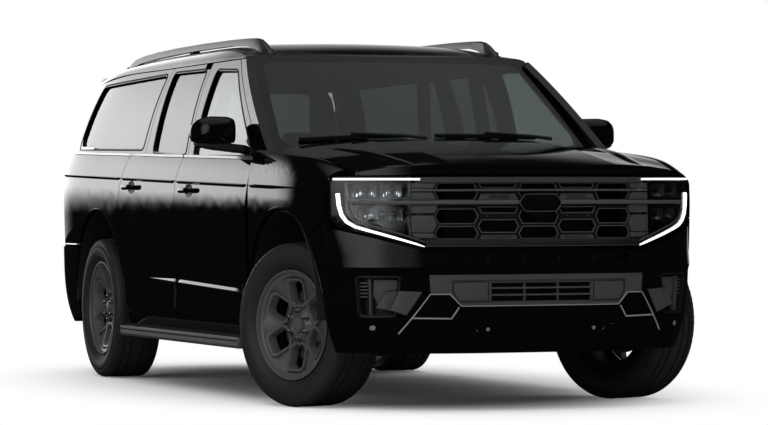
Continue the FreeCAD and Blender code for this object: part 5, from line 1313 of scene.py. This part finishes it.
rear = {"lampX": (0.862, 0.926), "upper": (1.104, 1.294), "clear": (1.034, 1.092), "lower": (0.900, 1.022),
        "band": [(-0.800, 1.262), (0.800, 1.262), (0.786, 1.312), (-0.786, 1.312)],
        "recess": boxRing(-0.268, 0.268, 0.926, 1.066), "sensorX": (0.25, 0.70), "sensorZ": 0.590,
        "valance": [(-0.620, 0.350), (0.620, 0.350), (0.560, 0.500), (-0.560, 0.500)],
        "reflexX": (0.660, 0.800), "reflexZ": (0.515, 0.545), "stepY": 2.772, "stepStart": -0.600, "stepPitch": 0.020,
        "stepCount": 61, "finX": (-0.52, -0.43, -0.34, 0.34, 0.43, 0.52), "gripHeight": 1.100}


def lampCell(x0, x1, z0, z1, proud):
    return plate(roundedRing(boxRing(x0, x1, z0, z1), 0.008), [], proud, 0.006, 0.012, 0.0012, rearPoint)


def lampRibs(x0, x1, z0, z1, count):
    # Moulded flutes over a lamp cell.
    return joinParts([strip([(x0 + 0.006, z), (x1 - 0.006, z)], 0.0035, 0.0048, -0.001, rearPoint, fine=0.02)
                      for z in span(z0 + 0.010, z1 - 0.010, (z1 - z0 - 0.020) / count)])


x0, x1 = rear["lampX"]
redCells = joinParts([lampCell(x0, x1, *rear["upper"], 0.0035), lampCell(x0, x1, *rear["lower"], 0.0035),
                      lampRibs(x0, x1, *rear["upper"], 16), lampRibs(x0, x1, *rear["lower"], 10)])
pairPieces("tailLampCells", redCells, "redLens", ["body"], "red_lens")
clearCell = joinParts([lampCell(x0, x1, *rear["clear"], 0.0035), lampRibs(x0, x1, *rear["clear"], 5)])
pairPieces("reverseLampCells", clearCell, "reflector", ["body"], "lamp_lens")
frameRing = roundedRing(boxRing(x0 - 0.006, x1 + 0.004, 0.893, 1.301), 0.012)
pairPieces("tailLampFrames", strip(frameRing, 0.005, 0.0045, 0.001, rearPoint, closed=True, fine=0.02), "lampBlack",
           ["body"], "black_plastic")
newPiece("tailgateBand", *plate(rear["band"], [], 0.0045, 0.006, 0.04, 0.0015, rearPoint), "glossTrim", "tailgate",
         "black_paint")
plateFrame = strip(roundedRing(rear["recess"], 0.016), 0.012, 0.006, 0.001, rearPoint, closed=True, fine=0.03)
newPiece("plateFrame", *plateFrame, "satinBlack", "tailgate", "black_plastic")
blankPlate = plate(roundedRing(grownRing(rear["recess"], -0.014), 0.008), [], 0.0022, 0.004, 0.05, 0.0008, rearPoint)
newPiece("plateBlank", *blankPlate, "blankGrey", "tailgate", "black_plastic")
gripY, gripZ = rearPoint(0, rear["gripHeight"]).y, rear["gripHeight"]
gripParts = [softBlock((0.520, 0.030, 0.024), (0, gripY + 0.010, gripZ), 0.008)]
gripParts += [softBlock((0.050, 0.012, 0.006), (x, gripY + 0.014, gripZ - 0.0135), 0.002) for x in (-0.15, 0.15)]
newPiece("tailgateGrip", *joinParts(gripParts), "glossTrim", "tailgate", "black_plastic")
stopLamp = strip([(-0.150, 1.762), (0.150, 1.762)], 0.014, 0.0035, 0.001, rearPoint, fine=0.03)
newPiece("highStopLamp", *stopLamp, "redLens", "tailgate", "red_lens")
rearWiper = joinParts([strip([(-0.250, 1.412), (0.190, 1.412)], 0.012, 0.016, -0.004, rearPoint, fine=0.04),
                       strip([(0.000, 1.372), (0.012, 1.395), (-0.030, 1.414)], [0.030, 0.020, 0.012], 0.024, 0.0,
                             rearPoint, fine=0.02)])
newPiece("rearWiper", *rearWiper, "satinBlack", "tailgate", "black_plastic", 35)
newPiece("rearValance", *plate(rear["valance"], [], 0.003, 0.006, 0.04, 0.0015, rearPoint), "grained", "body",
         "black_plastic")
fins = [strip([(x, 0.365), (x * 0.97, 0.488)], 0.008, 0.006, 0.0, rearPoint, fine=0.03)
        for x in rear["finX"]]
newPiece("rearValanceFins", *joinParts(fins), "satinBlack", "body", "black_plastic")
reflexRing = roundedRing(boxRing(*rear["reflexX"], *rear["reflexZ"]), 0.008)
reflexPart = plate(reflexRing, [], 0.003, 0.006, 0.03, 0.001, rearPoint)
pairPieces("rearReflectors", reflexPart, "redLens", ["body"], "red_lens")
bumperTop = finder(["rear_bumper"]).ray_cast(Vector((0.3, rear["stepY"], 1.0)), Vector((0, 0, -1)))[0].z
stepRib = softBlock((0.008, 0.062, 0.004), (rear["stepStart"], rear["stepY"], bumperTop + 0.0008), 0.0015)
stepRow = repeated(stepRib, "grained", rear["stepCount"], offset=(rear["stepPitch"], 0, 0))
newPiece("bumperStepRibs", *stepRow, "grained", "body", "black_plastic")
# Sunk 2 mm, so that they stay within the bumper's outline.
rearSensors = [sensor(side * x, rear["sensorZ"], place=lambda px, pz, proud: rearPoint(px, pz, proud - 0.0020))
               for side in (1, -1) for x in rear["sensorX"]]
newPiece("rearSensors", *joinParts(rearSensors), "sensorGrey", "body", "grey_plastic", 40)
print("back built")


# Seats. Each pad starts as a slightly small block, is puffed as cloth, and gets its seams after that.
pad = {"voxel": 0.006, "pressure": 4.0, "frames": 20, "quality": 3, "cap": 0.022, "shrink": 0.010, "round": 0.030,
       "half": 0.260, "restHalf": 0.130, "backHeight": 0.690,
       "cushion": [(0.000, 0.090), (0.000, 0.190), (0.500, 0.160), (0.500, 0.090)],
       "back": [(0.410, 0.120), (0.610, 0.690), (0.710, 0.670), (0.560, 0.100)],
       "rest": [(0.620, 0.000), (0.610, 0.150), (0.705, 0.150), (0.695, -0.010)],
       "seams": (-0.165, 0.165), "crossSeams": (0.170, 0.330), "seamDepth": 0.009, "seamWidth": 0.010}
seatPlaces = {"frontLeft": (0.430, -0.760, 0.500, 1.190, 1.0), "frontRight": (-0.430, -0.760, 0.500, 1.190, 1.0),
              "middleLeft": (0.430, 0.190, 0.500, 1.200, 1.0), "middleRight": (-0.430, 0.190, 0.500, 1.200, 1.0),
              "rearLeft": (0.340, 1.130, 0.716, 1.300, 0.625), "rearMiddle": (0.0, 1.130, 0.716, 1.300, 0.625),
              "rearRight": (-0.340, 1.130, 0.716, 1.300, 0.625)}


def padBlock(outline, half, p):
    # A rounded block, its outline in y and z drawn in and carried across x.
    ring = grownRing(outline, -p["shrink"])
    form = bmesh.new()
    rows = [[form.verts.new((x, y, z)) for y, z in ring] for x in (-half + p["shrink"], half - p["shrink"])]
    count = len(ring)
    form.faces.new(rows[0])
    form.faces.new(list(reversed(rows[1])))
    for i in range(count):
        j = (i + 1) % count
        form.faces.new((rows[0][j], rows[0][i], rows[1][i], rows[1][j]))
    bmesh.ops.recalc_face_normals(form, faces=form.faces[:])
    bmesh.ops.bevel(form, geom=form.edges[:], offset=p["round"], segments=4, affect="EDGES", profile=0.5)
    mesh = bpy.data.meshes.new("padBlock")
    form.to_mesh(mesh)
    form.free()
    return mesh


def applied(piece):
    graph = bpy.context.evaluated_depsgraph_get()
    return bpy.data.meshes.new_from_object(piece.evaluated_get(graph))


def puffed(outline, half, p):
    # Remeshed, blown up as cloth, and no point moved further than the cap.
    block = linked("padBlock", padBlock(outline, half, p))
    remesh = block.modifiers.new("remesh", "REMESH")
    remesh.mode = "VOXEL"
    remesh.voxel_size = p["voxel"]
    mesh = applied(block)
    bpy.data.objects.remove(block)
    start = [v.co.copy() for v in mesh.vertices]
    soft = linked("padSoft", mesh)
    cloth = soft.modifiers.new("cloth", "CLOTH")
    cloth.settings.quality = p["quality"]
    cloth.settings.use_pressure = True
    cloth.settings.uniform_pressure_force = p["pressure"]
    cloth.settings.effector_weights.gravity = 0
    cloth.point_cache.frame_end = p["frames"]
    for frameNumber in range(1, p["frames"] + 1):
        bpy.context.scene.frame_set(frameNumber)
    blown = applied(soft)
    bpy.data.objects.remove(soft)
    bpy.context.scene.frame_set(1)
    held = []
    for v, before in zip(blown.vertices, start):
        move = v.co - before
        held += list(before + move * min(1, p["cap"] / max(move.length, 0.000001)))
    blown.vertices.foreach_set("co", held)
    blown.update()
    return blown


def pressSeams(mesh, p, upright):
    # Sewn channels pressed into the padded face: two along the sides and two across.
    pressed = []
    for place, out in [(v.co.copy(), v.normal.copy()) for v in mesh.vertices]:
        depth = 0
        if out.z > 0.25 or out.y < -0.25:
            run = (place.z - 0.10) * 0.86 if upright else place.y
            depth = max(math.exp(-((place.x - x) / p["seamWidth"]) ** 2) for x in p["seams"])
            if abs(place.x) < p["seams"][1]:
                depth = max([depth] + [0.8 * math.exp(-((run - c) / p["seamWidth"]) ** 2) for c in p["crossSeams"]])
        pressed += list(place - out * p["seamDepth"] * depth)
    mesh.vertices.foreach_set("co", pressed)
    mesh.update()


def padMesh(source, scale, x, y, z, lift=1.0):
    mesh = source.copy()
    mesh.transform(Matrix.Translation((x, y, z)) @ Matrix.Diagonal((scale, 1, lift, 1)))
    return mesh


cushionSource = puffed(pad["cushion"], pad["half"], pad)
backSource = puffed(pad["back"], pad["half"], pad)
restSource = puffed(pad["rest"], pad["restHalf"], pad)
pressSeams(cushionSource, pad, False)
pressSeams(backSource, pad, True)
seatBases = []
for name, (x, y, base, top, scale) in seatPlaces.items():
    cushion = finishPiece(name + "Cushion", padMesh(cushionSource, scale, x, y, base), "seat", "body", 60)
    lift = (top - base) / pad["backHeight"]
    back = finishPiece(name + "Back", padMesh(backSource, scale, x, y, base, lift), "seat", "body", 60)
    rest = finishPiece(name + "Rest", padMesh(restSource, 0.8 if scale < 1 else 1.0, x, y, top), "seat", "body",
                       60)
    if name == "frontLeft":
        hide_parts("seats")
    wide = 0.52 * scale
    seatBases.append(softBlock((wide - 0.06, 0.42, 0.086), (x, y + 0.250, base + 0.043), 0.012))
    seatBases += [softBlock((0.034, 0.46, 0.020), (x + s * (wide / 2 - 0.07), y + 0.25, base + 0.004), 0.004)
                  for s in (-1, 1)]
    seatBases += [softBlock((0.012, 0.012, 0.070), (x + s * 0.055, y + 0.655, top + 0.002), 0.003) for s in (-1, 1)]
newPiece("seatBases", *joinParts(seatBases), "grained", "body", "black_plastic", 40)
print("seats built")


# Dashboard: two dark screens, vents, and the steering wheel's pad and spokes.
dash = {"hub": (0.420, -1.000, 1.040), "lean": math.atan2(0.45, 1.0), "ventX": (-0.680, -0.200, 0.200, 0.680)}


def leaned(part, d):
    # Turned from an upright wheel facing +y to the column's lean, about the hub.
    return moved(Matrix.Translation(d["hub"]) @ Matrix.Rotation(d["lean"], 4, "X"), part)


wheelParts = [softBlock((0.130, 0.034, 0.100), (0, 0.0, -0.005), 0.016)]
wheelParts += [softBlock((0.120, 0.016, 0.034), (s * 0.118, -0.002, 0.006), 0.006) for s in (-1, 1)]
wheelParts.append(softBlock((0.040, 0.016, 0.125), (0, -0.002, -0.112), 0.006))
newPiece("steeringPad", *leaned(joinParts(wheelParts), dash), "grained", "body", "black_plastic", 40)
screens = [softBlock((0.620, 0.020, 0.110), (0.430, -1.165, 1.215), 0.006),
           softBlock((0.260, 0.020, 0.150), (0.0, -1.068, 1.085), 0.006)]
newPiece("dashScreens", *joinParts(screens), "lampBlack", "body", "black_plastic", 35)
vent = softBlock((0.130, 0.010, 0.004), (0.0, -1.076, 0.960), 0.0015)
slats = repeated(vent, "satinBlack", 5, offset=(0, 0, 0.011))
ventParts = [moved(Matrix.Translation((x, 0, 0)), slats) for x in dash["ventX"]]
newPiece("dashVents", *joinParts(ventParts), "satinBlack", "body", "black_plastic", 35)
print("cabin built")


# Studio: a pale floor that is painted near black in reflections as painted shade, and a world that is white to the eye
# and dark on the paint but for a few patches.
# A patch shines where the direction nears its aim (spread), above its foot, and fades to its top share at its
# head. The side wall draws the light band along the doors, and the others light the corner, hood and roof.
studio = {"floorColour": "#f2f2f2", "floorPaintedDarkInReflections": "#101010", "floorSize": 120, "fadeStart": 0.95, "fadeEnd": 2.0,
          "hallLevel": 0.006,
          "patches": {"sideWall": {"aim": (-0.052, 0.9986, 0.05), "spread": (0.925, 0.968), "foot": (-0.010, 0.020),
                                   "head": (0.13, 0.42), "top": 0.15, "level": 2.3},
                      "corner": {"aim": (-0.82, -0.46, 0.30), "spread": (0.82, 1.0), "foot": (-2, -1),
                                 "head": (2, 3), "top": 1.0, "level": 1.10},
                      "horizon": {"aim": (0.35, 0.93, 0.0), "spread": (0.86, 0.96), "foot": (-2, -1),
                                  "head": (0.10, 0.34), "top": 0.0, "level": 0.55},
                      "ceiling": {"aim": (0, 0, 1), "spread": (0.55, 0.85), "foot": (-2, -1), "head": (2, 3),
                                  "top": 1.0, "level": 0.30}},
          "lampPosition": (-5, -7, 6), "lampAim": (0, -1, 0.8), "lampSize": (5, 3), "lampPower": 230}


def makeFloor(s):
    mesh = bpy.data.meshes.new("floor")
    half = s["floorSize"] / 2
    mesh.from_pydata([(-half, -half, 0), (half, -half, 0), (half, half, 0), (-half, half, 0)], [], [(0, 1, 2, 3)])
    floor = linked("floor", mesh)
    material, tree, shader = newSurface("paintedFloor", s["floorColour"], 0.9, {"Specular IOR Level": 0.0})
    # Glossy and transmission rays see the floor near black: painted shade in the floor's reflection, not the floor's
    # own colour.
    path = addNode(tree, "ShaderNodeLightPath").outputs
    reflectedRayShadeMask = addNode(tree, "ShaderNodeMath", {0: path["Is Glossy Ray"], 1: path["Is Transmission Ray"]},
                       operation="MAXIMUM")
    mix = addNode(tree, "ShaderNodeMix", {"Factor": reflectedRayShadeMask.outputs[0], "A": hexColour(s["floorColour"]),
                                          "B": hexColour(s["floorPaintedDarkInReflections"])}, data_type="RGBA")
    tree.links.new(mix.outputs[2], shader.inputs["Base Color"])
    place = addNode(tree, "ShaderNodeTexCoord").outputs["Object"]
    oval = addNode(tree, "ShaderNodeVectorMath", {0: place, 1: (1.0, 0.5, 1.0)}, operation="MULTIPLY").outputs[0]
    reach = addNode(tree, "ShaderNodeVectorMath", {0: oval}, operation="LENGTH").outputs["Value"]
    away = addNode(tree, "ShaderNodeMapRange", {"Value": reach, "From Min": s["fadeStart"], "From Max": s["fadeEnd"]},
                   interpolation_type="SMOOTHSTEP")
    # Only the eye sees the floor go over to white; the car's diffuse light keeps the plain floor, and its reflections
    # see the floor painted near black as painted shade.
    fade = addNode(tree, "ShaderNodeMath", {0: away.outputs[0], 1: path["Is Camera Ray"]}, operation="MULTIPLY")
    glow = addNode(tree, "ShaderNodeEmission", {"Color": hexColour("#ffffff"), "Strength": 1.0})
    both = addNode(tree, "ShaderNodeMixShader", {0: fade.outputs[0], 1: shader.outputs[0], 2: glow.outputs[0]})
    tree.links.new(both.outputs[0], tree.nodes["Material Output"].inputs["Surface"])
    mesh.materials.append(material)


def makeWorld(s):
    world = bpy.data.worlds.new("studio")
    bpy.context.scene.world = world
    world.use_nodes = True
    tree = world.node_tree
    background = tree.nodes["Background"]
    background.inputs["Color"].default_value = hexColour("#ffffff")
    direction = addNode(tree, "ShaderNodeTexCoord").outputs["Generated"]
    height = addNode(tree, "ShaderNodeSeparateXYZ", {0: direction}).outputs["Z"]
    total = s["hallLevel"]
    for patch in s["patches"].values():
        aim = addNode(tree, "ShaderNodeVectorMath", {0: direction, 1: Vector(patch["aim"]).normalized()},
                      operation="DOT_PRODUCT").outputs["Value"]
        shine = patch["level"]
        for value, key, low, high in ((aim, "spread", 0, 1), (height, "foot", 0, 1), (height, "head", 1, patch["top"])):
            start, end = patch[key]
            steps = {"Value": value, "From Min": start, "From Max": end, "To Min": low, "To Max": high}
            share = addNode(tree, "ShaderNodeMapRange", steps, interpolation_type="SMOOTHSTEP").outputs[0]
            shine = addNode(tree, "ShaderNodeMath", {0: shine, 1: share}, operation="MULTIPLY").outputs[0]
        total = addNode(tree, "ShaderNodeMath", {0: total, 1: shine}, operation="ADD").outputs[0]
    path = addNode(tree, "ShaderNodeLightPath")
    level = addNode(tree, "ShaderNodeMix", {"Factor": path.outputs["Is Glossy Ray"], "A": 1.0, "B": total},
                    data_type="FLOAT").outputs[0]
    tree.links.new(level, background.inputs["Strength"])


def addSoftbox(name, position, target, size, power):
    light = bpy.data.lights.new(name, "AREA")
    light.shape = "RECTANGLE"
    light.size, light.size_y = size
    light.energy = power
    lamp = bpy.data.objects.new(name, light)
    lamp.location = position
    lamp.visible_glossy = False
    lamp.rotation_euler = (Vector(target) - Vector(position)).to_track_quat("-Z", "Y").to_euler()
    bpy.context.scene.collection.objects.link(lamp)


bpy.context.scene.view_settings.view_transform = "Standard"
makeFloor(studio)
makeWorld(studio)
addSoftbox("keySoftbox", studio["lampPosition"], studio["lampAim"], studio["lampSize"], studio["lampPower"])
print("studio set")
